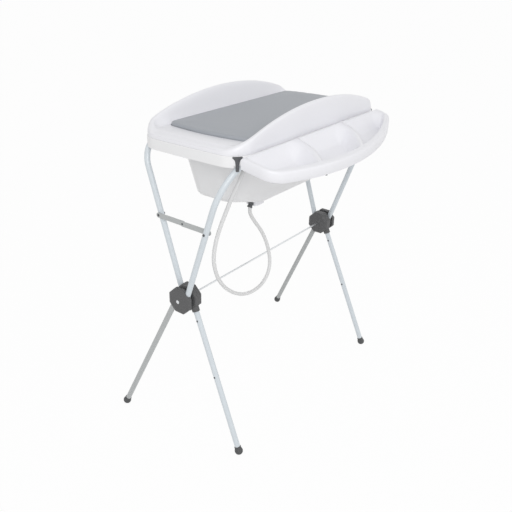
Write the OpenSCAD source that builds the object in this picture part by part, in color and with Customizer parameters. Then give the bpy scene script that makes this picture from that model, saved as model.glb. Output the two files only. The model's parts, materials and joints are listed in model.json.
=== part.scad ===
// Baby bath and changing table on a folding cross-leg stand.
// X runs along the bath, -Y is the front with the organiser tray, +Z is up.
// The origin is on the floor, under the middle of the whole outline.

/* [Stand] */
// Height of the hub centres above the floor
hub_z = 495; // [480:5:510]
// How far the plane of the front upper tube and the back legs stands out from the bath rim's end
plane_gap = 27; // [22:1:35]
// Outside diameter of every stand tube
tube_d = 18; // [16:0.5:20]
// Wall of the stand tubes
tube_wall = 1.2; // [0.8:0.1:2]
// How far the tubes' rails under the rim lie inside the rim's long edges
rail_inset = 16.3; // [14:0.1:18]
// Lean of the back legs away from upright
back_tilt = 24.4; // [22:0.1:26]
// Lean of the front legs away from upright
front_tilt = 23.4; // [22:0.1:26]
// Outward splay of the back legs
splay_back = 5.4; // [3:0.1:6.5]
// Outward splay of the front legs
splay_front = 2.1; // [1:0.1:3]
// Bend radius at the top of the upper tubes
bend_r = 80; // [60:1:100]
// Distance of the upper rivets below the hub, along the leg
upper_rivet = 81; // [75:1:90]
// Distance of the lower rivets below the hub, along the leg
lower_rivet = 272; // [250:2:290]

/* [Hubs] */
// Size of the eight-sided hub across its corners
hub_d = 94; // [92:1:100]
// Thickness of one hub half
hub_t = 27; // [26:0.5:29]
// Gap between the two halves of a hub
hub_gap = 1; // [0.8:0.1:2]
// Distance of each tube axis from the hub centre
socket_offset = 17; // [16.5:0.5:18]
// How far a tube runs past the hub centre inside its socket
socket_depth = 24; // [18:1:28]
// Wall of the socket sleeves
sleeve_wall = 3.2; // [2.5:0.1:3.6]
// Reach of the upper socket sleeves from the hub centre
upper_reach = 47; // [45:1:52]
// Reach of the lower socket sleeves from the hub centre
lower_reach = 57; // [52:1:64]
// Diameter of the tie rod through both hubs
rod_d = 6; // [5:0.5:8]

/* [Feet] */
// Diameter of the ball-shaped foot caps
foot_d = 27; // [25:0.5:30]
// Height of the foot ball centre, lower than its radius so that it stands on a flat
foot_z = 11; // [9.5:0.5:12]
// Length of the foot sleeve along the leg
foot_sleeve = 30; // [24:1:40]

/* [Brace] */
// Height of the folding brace
brace_z = 745; // [720:5:770]
// Width of the flat brace bars
bar_w = 16; // [14:0.5:18]
// Thickness of the brace bars
bar_t = 3; // [2:0.5:4]
// Gap between the two brace bars
bar_gap = 0.4; // [0.3:0.1:0.8]
// Diameter of the brace bolts
bolt_d = 6; // [5:0.5:7]

/* [Bath] */
// Length of the bath rim
rim_l = 780; // [760:5:800]
// Width of the bath rim
rim_w = 380; // [376:2:396]
// Corner radius of the bath rim
rim_r = 60; // [45:1:70]
// Height of the top of the bath rim
rim_z = 976; // [970:1:980]
// Height of the skirt round the rim
skirt_h = 32; // [28:1:34]
// Wall of the bath
bath_wall = 3.5; // [3:0.1:4.5]
// Reach of the bath body at the rim towards the near end
body_near = 335; // [325:1:345]
// Reach of the bath body at the rim towards the far end
body_far = 340; // [325:1:345]
// Width of the bath body at the rim
body_w = 276; // [264:2:290]
// Depth of the bath body below the rim
body_h = 217; // [205:1:225]
// Width of the bath body at the bottom
floor_w = 180; // [170:2:190]
// Where the flat bottom starts, towards the near end
floor_x0 = -150; // [-160:2:-144]
// Where the flat bottom ends, towards the far end
floor_x1 = 290; // [270:5:300]
// Foot of the sloping near end wall
rest_x = -272; // [-280:1:-262]
// Depth of the body at the foot of the near end wall
rest_h = 182; // [172:1:190]
// Width of the body at the foot of the near end wall
rest_w = 170; // [160:2:176]
// Lengthwise place of the drain
drain_x = -112; // [-114:1:-110]
// Crosswise place of the drain
drain_y = -45; // [-46:1:-44]
// Radius of the drain hole
drain_r = 12; // [11:0.5:13]

/* [Changer] */
// Height of the changer lip above the bath rim
lip_h = 14; // [12:1:18]
// Height of the changer platform above its lip
deck_h = 6; // [5:1:8]
// Wall of the changer shell
top_wall = 3.5; // [3:0.1:4.5]
// Height of the side wings above the changer lip
wing_h = 80; // [70:1:90]
// Thickness of the side wings
wing_t = 14; // [12:1:16]
// Length of the mat
mat_l = 650; // [620:5:660]
// Width of the mat
mat_w = 318; // [300:2:322]
// Thickness of the mat
mat_t = 15; // [10:1:20]
// Lengthwise place of the mat centre
mat_x = 15; // [5:1:20]
// Diameter of the hinge pins
pin_d = 5; // [4:0.5:6]

/* [Tray] */
// Length of the organiser tray
tray_l = 756; // [740:2:764]
// Reach of the tray in front of the rim
tray_reach = 164; // [150:2:175]
// Radius of the front edge of the tray
tray_arc_r = 889; // [850:1:950]
// Lengthwise place of the tray's deepest point
tray_arc_x = -60; // [-80:5:0]
// Slope of the tray lip down towards the front
tray_tilt = 10; // [6:1:12]
// Height of the tray's outer wall
tray_wall_h = 31; // [26:1:36]
// Wall of the tray
tray_wall = 3; // [2.5:0.5:4]
// Depth of the tray's compartments
bowl_h = 37; // [32:1:44]
// Width of the ridges between compartments
ridge_w = 36; // [32:1:44]

/* [Hidden] */
$fn = 96;

near = -1;
far = 1;
ends = [near, far];
cut = 0.01;
tube_r = tube_d / 2;
// Radial gap round a tube in its socket, and round a fixed fastener
tube_fit = 0.15;
fix_fit = 0.05;
// Radial running gap round a pivot
run_fit = 0.08;
// Gap between faces that rest on each other
seat_gap = 0.3;

plane_out = rim_l / 2 + plane_gap;
plane_in = plane_out - hub_t - hub_gap;
rim_under = rim_z - bath_wall;
rail_y = rim_w / 2 - rail_inset;
rail_z = rim_under - seat_gap - tube_r;
rail_rise = rail_z - hub_z;
// Lean of the upper tubes that brings their rails under the rim
tube_tilt = acos(socket_offset / norm([rail_y, rail_rise])) - atan2(rail_rise, rail_y);
// Distances along an upper tube from its hub
rail_s = (rail_rise + socket_offset * sin(tube_tilt)) / cos(tube_tilt);
bend_s = rail_s - bend_r;
brace_s = (brace_z - hub_z + socket_offset * sin(tube_tilt)) / cos(tube_tilt);
brace_y = socket_offset * cos(tube_tilt) + brace_s * sin(tube_tilt);

// Length of a lower leg from its hub to the centre of the foot ball
function leg_s(tilt, splay) = (hub_z - foot_z + socket_offset * sin(tilt)) / (cos(splay) * cos(tilt));
function leg_y(tilt, splay) = socket_offset * cos(tilt) + leg_s(tilt, splay) * cos(splay) * sin(tilt);

tray_back_y = -rim_w / 2 - seat_gap;
tray_front_y = tray_back_y - tray_reach;
// The whole outline runs from the tray's front edge to the back feet
centre_y = -(tray_front_y + leg_y(back_tilt, splay_back) + foot_d / 2) / 2;

sleeve_r = tube_r + sleeve_wall;
screw_r = 3;
screw_spots = [[-16, -27], [24, 25]];
rivet_r = 2;
rivet_head_r = 3.6;
rivet_head_t = 1.2;
nut_r = 6.5;
nut_t = 7;
washer_r = 14;

module place() translate([0, centre_y, 0]) children();
// The back upper tube and its front legs are the mirror image of the other frame
module frame_side(inner) translate([0, 0, hub_z]) mirror([0, inner ? 1 : 0, 0]) children();
module along_x(h, r) rotate([0, 90, 0]) cylinder(h = h, r = r, center = true);
module leg_axis(end, tilt, splay) rotate([tilt, 0, 0]) translate([0, socket_offset, 0])
    rotate([0, -end * splay, 0]) children();
module tube_axis() rotate([tube_tilt, 0, 0]) translate([0, -socket_offset, 0]) children();

// Outline of a rectangle with round corners
module rounded(l, w, r) {
    square([l - 2 * r, w], center = true);
    square([l, w - 2 * r], center = true);
    for (sx = ends) for (sy = ends) translate([sx * (l / 2 - r), sy * (w / 2 - r)]) circle(r = r);
}

// ---- Stand ----

module upper_path(plane, r, over) {
    for (end = ends) {
        translate([end * plane, 0, -socket_depth - over]) cylinder(h = bend_s + socket_depth + over, r = r);
        translate([end * (plane - bend_r), 0, bend_s]) mirror([end == near ? 1 : 0, 0, 0])
            rotate([90, 0, 0]) rotate_extrude(angle = 90) translate([bend_r, 0]) circle(r = r, $fn = 48);
    }
    translate([0, 0, rail_s]) along_x(2 * (plane - bend_r), r);
}

module upper_tube(plane, inner) {
    frame_side(inner) difference() {
        tube_axis() upper_path(plane, tube_r, 0);
        tube_axis() upper_path(plane, tube_r - tube_wall, 1);
        translate([near * plane, -brace_y, brace_z - hub_z]) along_x(4 * tube_r, bolt_d / 2 + tube_fit);
    }
}

module front_upper_tube() color("lightsteelblue") place() upper_tube(plane_out, false);
module back_upper_tube() color("lightsteelblue") place() upper_tube(plane_in, true);

module lower_leg(end, plane, tilt, splay, inner, rivets) {
    length = leg_s(tilt, splay);
    frame_side(inner) translate([end * plane, 0, 0]) leg_axis(end, tilt, splay) difference() {
        translate([0, 0, -length]) cylinder(h = length + socket_depth, r = tube_r);
        translate([0, 0, -length - 1]) cylinder(h = length + socket_depth + 2, r = tube_r - tube_wall);
        for (s = rivets) translate([0, 0, -s]) along_x(4 * tube_r, rivet_r + fix_fit);
    }
}

module back_leg(end) color("silver") place()
    lower_leg(end, plane_out, back_tilt, splay_back, false, [upper_rivet]);
module front_leg(end) color("lightsteelblue") place()
    lower_leg(end, plane_in, front_tilt, splay_front, true, [upper_rivet, lower_rivet]);
module back_leg_near() back_leg(near);
module back_leg_far() back_leg(far);
module front_leg_near() front_leg(near);
module front_leg_far() front_leg(far);

module leg_rivets(plane, tilt, splay, inner, rivets) {
    frame_side(inner) for (end = ends) translate([end * plane, 0, 0]) leg_axis(end, tilt, splay)
        for (s = rivets) translate([0, 0, -s]) {
            along_x(2 * tube_r + 1, rivet_r);
            for (side = ends) translate([side * (tube_r + rivet_head_t / 2), 0, 0])
                along_x(rivet_head_t, rivet_head_r);
        }
}

module rivets_back_legs() color("dimgray") place()
    leg_rivets(plane_out, back_tilt, splay_back, false, [upper_rivet]);
module rivets_front_legs() color("dimgray") place()
    leg_rivets(plane_in, front_tilt, splay_front, true, [upper_rivet, lower_rivet]);

foot_step = 1.2;
foot_lip = 1.4;

module leg_end(end, plane, tilt, splay, inner) frame_side(inner) translate([end * plane, 0, 0])
    leg_axis(end, tilt, splay) translate([0, 0, -leg_s(tilt, splay)]) children();

// A ball on a sleeve, cut flat where it stands on the floor
module foot(end, plane, tilt, splay, inner) difference() {
    sleeve = foot_d / 2 - foot_step;
    leg_end(end, plane, tilt, splay, inner) {
        sphere(r = foot_d / 2);
        cylinder(h = foot_sleeve, r = sleeve);
        translate([0, 0, foot_sleeve - 2]) cylinder(h = 4, r1 = sleeve, r2 = tube_r + foot_lip);
    }
    leg_end(end, plane, tilt, splay, inner) cylinder(h = 2 * foot_sleeve, r = tube_r + tube_fit);
    translate([0, 0, -foot_d]) cube([4 * plane_out, 4 * plane_out, 2 * foot_d], center = true);
}

module back_foot_near() color("dimgray") place() foot(near, plane_out, back_tilt, splay_back, false);
module back_foot_far() color("dimgray") place() foot(far, plane_out, back_tilt, splay_back, false);
module front_foot_near() color("dimgray") place() foot(near, plane_in, front_tilt, splay_front, true);
module front_foot_far() color("dimgray") place() foot(far, plane_in, front_tilt, splay_front, true);

// ---- Hubs ----

// Eight-sided disc with its corners taken off by two wide cones
module hub_disc() {
    bevel = 7;
    intersection() {
        rotate([0, 90, 0]) rotate([0, 0, 22.5]) cylinder(h = hub_t, r = hub_d / 2, center = true, $fn = 8);
        union() for (side = ends) rotate([0, side * 90, 0])
            cylinder(h = hub_t / 2, r1 = hub_d / 2 + 1, r2 = hub_d / 2 - bevel);
    }
}

module hub_half(end, plane, tilt, splay, inner, pivot_r, face) {
    frame_side(inner) translate([end * plane, 0, 0]) difference() {
        union() {
            hub_disc();
            tube_axis() cylinder(h = upper_reach, r = sleeve_r);
            leg_axis(end, tilt, splay) translate([0, 0, -lower_reach])
                cylinder(h = lower_reach, r = sleeve_r);
            if (face < 0) translate([-end * (hub_t + boss_t) / 2, 0, 0]) along_x(boss_t, boss_r);
        }
        tube_axis() translate([0, 0, -socket_depth - 1]) cylinder(h = 3 * upper_reach, r = tube_r + tube_fit);
        leg_axis(end, tilt, splay) translate([0, 0, -3 * lower_reach])
            cylinder(h = 3 * lower_reach + socket_depth + 1, r = tube_r + tube_fit);
        along_x(2 * hub_t, pivot_r);
        for (spot = screw_spots) translate([end * face * hub_t / 2, spot[0], spot[1]])
            along_x(2 * screw_seat, screw_r + fix_fit);
    }
}

screw_seat = 5;
// Boss round the rod on the inner face of each hub
boss_t = 8;
boss_r = 11;
screw_t = 3.4;

module hub_screws(plane, inner, face) {
    frame_side(inner) for (end = ends) for (spot = screw_spots)
        translate([end * (plane + face * (hub_t / 2 - screw_seat + screw_t / 2)), spot[0], spot[1]])
            along_x(screw_t, screw_r);
}

module hub_outer(end) color("gray") place()
    hub_half(end, plane_out, back_tilt, splay_back, false, rod_d / 2 + fix_fit, 1);
module hub_inner(end) color("gray") place()
    hub_half(end, plane_in, front_tilt, splay_front, true, rod_d / 2 + run_fit, -1);
module hub_outer_near() hub_outer(near);
module hub_outer_far() hub_outer(far);
module hub_inner_near() hub_inner(near);
module hub_inner_far() hub_inner(far);
module hub_screws_outer() color("dimgray") place() hub_screws(plane_out, false, 1);
module hub_screws_inner() color("dimgray") place() hub_screws(plane_in, true, -1);

hub_face = plane_out + hub_t / 2;
rod_half = hub_face + seat_gap + nut_t - 2;

module tie_rod() color("silver") place() translate([0, 0, hub_z]) along_x(2 * rod_half, rod_d / 2);

module rod_nuts() color("silver") place() translate([0, 0, hub_z]) for (end = ends)
    translate([end * (hub_face + seat_gap), 0, 0]) rotate([0, end * 90, 0]) difference() {
        union() {
            cylinder(h = nut_t - 2, r = nut_r, $fn = 6);
            intersection() {
                translate([0, 0, nut_t - nut_r]) sphere(r = nut_r - 0.8);
                translate([0, 0, nut_t - 3]) cylinder(h = nut_r, r = nut_r);
            }
        }
        translate([0, 0, -cut]) cylinder(h = nut_t - 2 + cut, r = rod_d / 2 + fix_fit);
    }

module hub_washers() color("silver") place() translate([0, 0, hub_z]) for (end = ends)
    translate([end * (plane_in + hub_t / 2 + hub_gap / 2), 0, 0]) difference() {
        along_x(hub_gap - 0.2, washer_r);
        along_x(hub_t, rod_d / 2 + tube_fit);
    }

// ---- Corner brackets that carry the bath rim ----

// Plan centre of a rim corner, and the corner's middle point
corner_x = rim_l / 2 - rim_r;
corner_y = rim_w / 2 - rim_r;
corner_mid = corner_x + rim_r * cos(45);
plate_t = 5;
plate_top = rim_z - seat_gap;
plate_w = 28;
stem_w = 11;
saddle_span = 16;
saddle_wall = 3;
// The back tubes are steeper under their corners, so their stems end higher
stem_lift = 5;

// How far round its bend a tube has turned below the middle of the corner
function bend_turn(plane) = acos(1 - (plane - corner_mid) / bend_r);
function bend_z(turn) = hub_z - socket_offset * sin(tube_tilt)
    + (bend_s + bend_r * sin(turn)) * cos(tube_tilt);

// Short sleeve round the bend of a tube, open below
module bracket_saddle(end, plane, inner, low_z) intersection() {
    frame_side(inner) tube_axis() translate([end * (plane - bend_r), 0, bend_s])
        mirror([end == near ? 1 : 0, 0, 0]) rotate([90, 0, 0])
            rotate([0, 0, bend_turn(plane) - saddle_span / 2]) rotate_extrude(angle = saddle_span)
                translate([bend_r, 0]) circle(r = tube_r + saddle_wall, $fn = 48);
    translate([0, 0, low_z + bend_r]) cube([2 * rim_l, 2 * rim_w, 2 * bend_r], center = true);
}

// T-shaped plate that follows the rim corner
module bracket_plate(low_z) {
    head_z = plate_top - 3;
    neck_z = plate_top - 12;
    intersection() {
        difference() {
            translate([0, 0, low_z]) cylinder(h = plate_top - low_z, r = rim_r);
            translate([0, 0, low_z - 1]) cylinder(h = plate_top - low_z + 2, r = rim_r - plate_t);
        }
        rotate([90, 0, 90]) linear_extrude(2 * rim_r) polygon([
            [-stem_w / 2, low_z], [stem_w / 2, low_z], [stem_w / 2, neck_z], [plate_w / 2, head_z],
            [plate_w / 2, plate_top], [-plate_w / 2, plate_top], [-plate_w / 2, head_z],
            [-stem_w / 2, neck_z]]);
    }
}

module bracket(end, plane, inner) {
    side = inner ? 1 : -1;
    low_z = bend_z(bend_turn(plane)) - saddle_wall;
    difference() {
        union() {
            bracket_saddle(end, plane, inner, low_z);
            translate([end * corner_x, side * corner_y, 0]) rotate([0, 0, atan2(side, end)])
                bracket_plate(low_z + (inner ? stem_lift : 0));
        }
        frame_side(inner) tube_axis() upper_path(plane, tube_r + tube_fit, 0);
    }
}

module bracket_front_near() color("dimgray") place() bracket(near, plane_out, false);
module bracket_front_far() color("dimgray") place() bracket(far, plane_out, false);
module bracket_back_near() color("dimgray") place() bracket(near, plane_in, true);
module bracket_back_far() color("dimgray") place() bracket(far, plane_in, true);

// ---- Folding brace at the near end ----

brace_mid_x = -(plane_out + plane_in) / 2;
bar_front_x = brace_mid_x - (bar_t + bar_gap) / 2;
bar_back_x = brace_mid_x + (bar_t + bar_gap) / 2;
bolt_head_r = 6;
bolt_head_t = 3.5;
stud_r = 2.5;
stud_head_r = 5.5;

module bar(x, from_y, to_y, pivot_y) {
    difference() {
        translate([x, 0, brace_z]) rotate([0, 90, 0]) linear_extrude(bar_t, center = true) {
            translate([-bar_w / 2, min(from_y, to_y)]) square([bar_w, abs(to_y - from_y)]);
            for (y = [from_y, to_y]) translate([0, y]) circle(r = bar_w / 2);
        }
        translate([x, pivot_y, brace_z]) along_x(4 * bar_t, bolt_d / 2 + run_fit);
        translate([x, 0, brace_z]) along_x(4 * bar_t, stud_r + fix_fit);
    }
}

module brace_bar_front() color("lightsteelblue") place() bar(bar_front_x, -brace_y, 0, -brace_y);
module brace_bar_back() color("lightsteelblue") place() bar(bar_back_x, brace_y, 0, brace_y);

// The middle pivot is opened between the bars: a headed stud on each bar, face to face
module brace_stud() color("silver") place() translate([bar_front_x, 0, brace_z]) {
    along_x(bar_t, stud_r);
    translate([-(bar_t + 2) / 2, 0, 0]) along_x(2, stud_head_r);
}
module brace_cap() color("silver") place() translate([bar_back_x, 0, brace_z]) {
    along_x(bar_t, stud_r);
    translate([(bar_t + 2) / 2, 0, 0]) along_x(2, stud_head_r);
}

// Bolt through a tube, a spacer and a bar, with a head at each end
module brace_bolt(plane, bar_x, y) {
    tube_out = -plane;
    side = sign(bar_x - tube_out);
    head_x = tube_out - side * (tube_r + 0.2);
    end_x = bar_x + side * (bar_t / 2 + 0.3);
    spacer_0 = tube_out + side * (tube_r + 0.2);
    spacer_1 = bar_x - side * (bar_t / 2 + 0.2);
    translate([0, y, brace_z]) {
        translate([(head_x + end_x) / 2, 0, 0]) along_x(abs(end_x - head_x) + 0.5, bolt_d / 2);
        translate([head_x - side * bolt_head_t / 2, 0, 0]) along_x(bolt_head_t, bolt_head_r);
        translate([end_x + side * 1, 0, 0]) along_x(2, bolt_head_r - 1);
        translate([(spacer_0 + spacer_1) / 2, 0, 0]) along_x(abs(spacer_1 - spacer_0), bolt_head_r - 1);
    }
}

module brace_bolt_front() color("silver") place() brace_bolt(plane_out, bar_front_x, -brace_y);
module brace_bolt_back() color("silver") place() brace_bolt(plane_in, bar_back_x, brace_y);

// ---- Bath ----

near_r = 130;
far_r = 90;
floor_r = 50;
rest_z = rim_under - rest_h;
floor_z = rim_under - body_h;

// One round corner pair of the bath body at a height
module corner_pair(x, width, r, z, h, sides) for (sy = ends)
    translate([x - sign(x) * r, sy * (width / 2 - r), z]) cylinder(h = h, r = r, $fn = sides);

// Tapered body: round near end, sloping near wall and flat bottom
module bath_form(inset) {
    slab = 1;
    lift = inset > 0 ? 1 : 0;
    body = body_w - 2 * inset;
    base = floor_w - 2 * inset;
    hull() {
        corner_pair(-body_near + inset, body, near_r - inset, rim_under - slab, slab + lift, 48);
        corner_pair(body_far - inset, body, far_r - inset, rim_under - slab, slab + lift, 40);
        corner_pair(rest_x + inset, rest_w - 2 * inset, floor_r - inset, rest_z + inset, slab, 32);
        corner_pair(floor_x0 + inset, base, floor_r - inset, floor_z + inset, slab, 32);
        corner_pair(floor_x1 - inset, base, floor_r - inset, floor_z + inset, slab, 32);
    }
}

sump_l = 50;
sump_w = 42;
sump_h = 18;
ear_w = 9;
knuckle_w = 30;
hinge_x = 220;
hinge_y = rim_w / 2 + 7;
hinge_z = rim_z + 2;
ear_r = 5.5;
ear_gap = 0.5;
skirt_notch = 50;
notch_deep = 24;

// Openings at the rim corners for the tubes and the bracket plates
module rim_notches() for (sx = ends) for (sy = ends)
    translate([sx * corner_x, sy * corner_y, 0]) rotate([0, 0, atan2(sy, sx)]) {
        translate([rim_r, 0, rim_under - skirt_h / 2 - 1])
            cube([notch_deep, skirt_notch, skirt_h + 2], center = true);
        translate([rim_r + plate_t - 1, 0, rim_z]) cube([notch_deep, plate_w + 4, 40], center = true);
    }

// The opening in the rim, as wide as the inside of the body
module bath_opening() {
    width = body_w - 2 * bath_wall;
    for (corner = [[-body_near + bath_wall, near_r - bath_wall], [body_far - bath_wall, far_r - bath_wall]])
        for (sy = ends) translate([corner[0] - sign(corner[0]) * corner[1], sy * (width / 2 - corner[1])])
            circle(r = corner[1]);
    translate([-body_near + near_r, -width / 2]) square([body_near + body_far - near_r - far_r, width]);
    translate([-body_near + bath_wall, -body_w / 2 + near_r]) square([near_r, body_w - 2 * near_r]);
    translate([body_far - far_r, -body_w / 2 + far_r]) square([far_r - bath_wall, body_w - 2 * far_r]);
}

module bath_tub() color("whitesmoke") place() {
    difference() {
        union() {
            bath_form(0);
            translate([0, 0, rim_under]) linear_extrude(bath_wall) rounded(rim_l, rim_w, rim_r);
            translate([0, 0, rim_z - skirt_h]) linear_extrude(skirt_h) difference() {
                rounded(rim_l, rim_w, rim_r);
                rounded(rim_l - 2 * bath_wall, rim_w - 2 * bath_wall, rim_r - bath_wall);
            }
        }
        bath_form(bath_wall);
        translate([0, 0, rim_under - cut]) linear_extrude(bath_wall + 1) bath_opening();
        translate([drain_x, drain_y, floor_z - 1]) cylinder(h = 3 * bath_wall, r = drain_r);
        rim_notches();
        tongues(slot_gap);
    }
    for (sx = ends) for (side = ends)
        translate([sx * hinge_x + side * (knuckle_w / 2 + ear_gap + ear_w / 2), 0, 0]) difference() {
            union() {
                translate([0, hinge_y, hinge_z]) along_x(ear_w, ear_r);
                translate([-ear_w / 2, rim_w / 2 - 1, hinge_z - 16]) cube([ear_w, 8, 14]);
            }
            translate([0, hinge_y, hinge_z]) along_x(2 * ear_w, pin_d / 2 + fix_fit);
        }
}

module changer_hinge_pins() color("silver") place() for (sx = ends)
    translate([sx * hinge_x, hinge_y, hinge_z]) along_x(knuckle_w + 2 * (ear_w + ear_gap), pin_d / 2);

seal_t = 2;
sump_z = floor_z - seal_t - 0.2 - sump_h;
spout_r = 8;
spout_x = drain_x - sump_l / 2 - 0.2;
spout_y = drain_y - 5;
spout_z = sump_z + 8;
elbow_x = spout_x - 9;
hose_r = 6;
hose_fit = 0.2;
// How far below the port's axis the hose starts
hose_dip = 8.3;

// Moulded well under the bath floor, with a port for the hose connector
module drain_sump() color("gainsboro") place() difference() {
    translate([drain_x, drain_y, sump_z]) linear_extrude(sump_h) rounded(sump_l, sump_w, 10);
    translate([drain_x, drain_y, sump_z + 3]) linear_extrude(sump_h - 6) rounded(sump_l - 7, sump_w - 7, 7);
    translate([drain_x, drain_y, sump_z + 3]) cylinder(h = sump_h, r = drain_r + 1);
    translate([spout_x, spout_y, spout_z]) along_x(20, 4);
}

module drain_seal() color("gray") place() translate([drain_x, drain_y, floor_z - seal_t - 0.1]) difference() {
    cylinder(h = seal_t, r = drain_r + 6);
    translate([0, 0, -1]) cylinder(h = 5, r = drain_r + 1);
}

// Elbow that turns the port down into the hose
module hose_connector() color("dimgray") place() difference() {
    union() {
        translate([(spout_x + elbow_x) / 2, spout_y, spout_z]) along_x(spout_x - elbow_x, spout_r);
        translate([elbow_x, spout_y, spout_z]) sphere(r = spout_r);
        translate([elbow_x, spout_y, spout_z - 18]) cylinder(h = 18, r = spout_r);
        translate([elbow_x, spout_y, spout_z - 18]) cylinder(h = 4, r = spout_r + 1);
    }
    translate([elbow_x, spout_y, spout_z - 20]) cylinder(h = 12, r = hose_r + hose_fit);
    translate([elbow_x, spout_y, spout_z - 9]) cylinder(h = 9, r = 4);
    translate([spout_x, spout_y, spout_z]) along_x(2 * (spout_x - elbow_x), 4);
}

plug_flange_r = 17;
module drain_plug() color("gray") place() translate([drain_x, drain_y, floor_z + bath_wall + 0.2]) {
    cylinder(h = 4, r = plug_flange_r);
    translate([0, 0, -bath_wall - 3]) cylinder(h = bath_wall + 3, r = drain_r - 1.3);
    difference() {
        translate([-2.5, -6, 3]) cube([5, 12, 9]);
        translate([0, 0, 8.5]) along_x(12, 2.2);
    }
}
module plug_ring() color("silver") place()
    translate([drain_x, drain_y, floor_z + bath_wall + 8.7]) rotate([90, 0, 0])
        translate([0, 8, 0]) rotate_extrude() translate([8, 0]) circle(r = 1.4, $fn = 24);

// Drain hose: down from the connector, round a slack loop and up into its clip
hose_route = [
    [-146, -50, 735], [-146, -50, 726], [-145, -50, 714], [-138, -50, 700], [-117, -50, 672],
    [-89, -53, 636], [-66, -56, 597], [-50, -59, 556], [-42, -62, 516], [-46, -65, 484],
    [-66, -69, 459], [-101, -73, 442], [-155, -78, 441], [-214, -83, 457], [-272, -88, 490],
    [-322, -92, 533], [-356, -96, 577], [-376, -99, 621], [-384, -102, 661], [-381, -105, 699],
    [-371, -108, 735], [-358, -112, 768], [-346, -117, 798], [-336, -123, 827], [-327, -131, 856],
    [-319, -139, 882], [-314, -145, 902], [-312, -148, 916], [-312, -148, 930]
];
hose_sides = 12;
clip_in = [78, 42];
clip_drop = 46;
hose_start = [elbow_x, spout_y, spout_z - hose_dip];
hose_end = [clip_in[0] - rim_l / 2, clip_in[1] - rim_w / 2, rim_z - clip_drop];
// The route as drawn, stretched so that it starts at the elbow and ends at the clip
function hose_stretch(k) = (hose_end[k] - hose_start[k])
    / (hose_route[len(hose_route) - 1][k] - hose_route[0][k]);
hose_points = [for (p = hose_route)
    [for (k = [0 : 2]) hose_start[k] + (p[k] - hose_route[0][k]) * hose_stretch(k)]];

// Points of a smooth curve through the chosen ones
function spline(p, i, t) =
    let (a = p[max(i - 1, 0)], b = p[i], c = p[i + 1], d = p[min(i + 2, len(p) - 1)])
    0.5 * (2 * b + (c - a) * t + (2 * a - 5 * b + 4 * c - d) * t * t + (3 * b - a - 3 * c + d) * t * t * t);
hose_line = [for (i = [0 : len(hose_points) - 2]) for (t = [0, 0.5]) spline(hose_points, i, t),
    hose_points[len(hose_points) - 1]];
function unit(v) = v / norm(v);
function hose_dir(i) = unit(hose_line[min(i + 1, len(hose_line) - 1)] - hose_line[max(i - 1, 0)]);
// Each ring keeps its side direction as near as it can to the -Y side
function ring_side(i) = unit(cross(hose_dir(i), [0, -1, 0.05]));
function ring_up(i) = cross(ring_side(i), hose_dir(i));
function ring_point(i, turn) = hose_line[i] + hose_r * (cos(turn) * ring_side(i) + sin(turn) * ring_up(i));

module drain_hose() color("white") place() polyhedron(
    points = [for (i = [0 : len(hose_line) - 1]) for (k = [0 : hose_sides - 1])
        ring_point(i, 360 * k / hose_sides)],
    faces = concat(
        [[for (k = [0 : hose_sides - 1]) k]],
        [for (i = [0 : len(hose_line) - 2]) for (k = [0 : hose_sides - 1])
            [i * hose_sides + k, (i + 1) * hose_sides + k,
             (i + 1) * hose_sides + (k + 1) % hose_sides, i * hose_sides + (k + 1) % hose_sides]],
        [[for (k = [hose_sides - 1 : -1 : 0]) (len(hose_line) - 1) * hose_sides + k]]));

clip_h = 19;
clip_wall = 3;
clip_bore = 13;
stalk_t = 8;

// Cap over the hose's end, hung from the rim on a stalk
module hose_clip() color("dimgray") place() translate([hose_end[0], hose_end[1], hose_end[2] - clip_bore])
    difference() {
        union() {
            cylinder(h = clip_h, r = hose_r + clip_wall);
            translate([-stalk_t / 2, -hose_r, clip_bore + 1])
                cube([stalk_t, 2 * hose_r, rim_under - seat_gap - hose_end[2] - 1]);
        }
        translate([0, 0, -1]) cylinder(h = clip_bore + 1 + hose_fit, r = hose_r + 0.3);
    }

// ---- Changer ----

lip_z = rim_z + seat_gap;
deck_z = lip_z + lip_h + deck_h;
mat_seat = 11;
wing_rise = wing_h + lip_h;
wing_r = 930;
wing_facets = 360;
deck_inset = 32;
deck_l = rim_l - 2 * deck_inset;
deck_w = rim_w - 2 * wing_t - 10;
deck_r = 40;
mat_r = 16;

// Long low arch standing on the changer's edge
module wing(side) intersection() {
    translate([0, side * (rim_w - wing_t) / 2, lip_z + wing_rise - wing_r]) rotate([90, 0, 0])
        cylinder(h = wing_t, r = wing_r, center = true, $fn = wing_facets);
    translate([0, 0, lip_z + lip_h - 2]) linear_extrude(wing_h + 10) rounded(rim_l, rim_w, rim_r);
}

// A slab as large as the inside of the changer's lip
module lip_slab(h) linear_extrude(h) rounded(rim_l - 2 * top_wall, rim_w - 2 * top_wall, rim_r - top_wall);

// A slab as large as the mat's recess, grown all round
module recess_slab(h, grow) translate([mat_x, 0, 0]) linear_extrude(h)
    rounded(mat_l + 2 + 2 * grow, mat_w + 2 + 2 * grow, mat_r + 1 + grow);

// Everything between the rim and the platform, hollow underneath
module changer_hollow() {
    translate([0, 0, lip_z - cut]) lip_slab(lip_h + deck_h - mat_seat - top_wall);
    difference() {
        translate([0, 0, lip_z]) union() {
            lip_slab(lip_h - top_wall);
            linear_extrude(lip_h + deck_h - top_wall)
                rounded(deck_l - 2 * top_wall, deck_w - 2 * top_wall, deck_r - top_wall);
        }
        translate([0, 0, lip_z - 1]) recess_slab(lip_h + deck_h, top_wall);
    }
}

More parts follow.
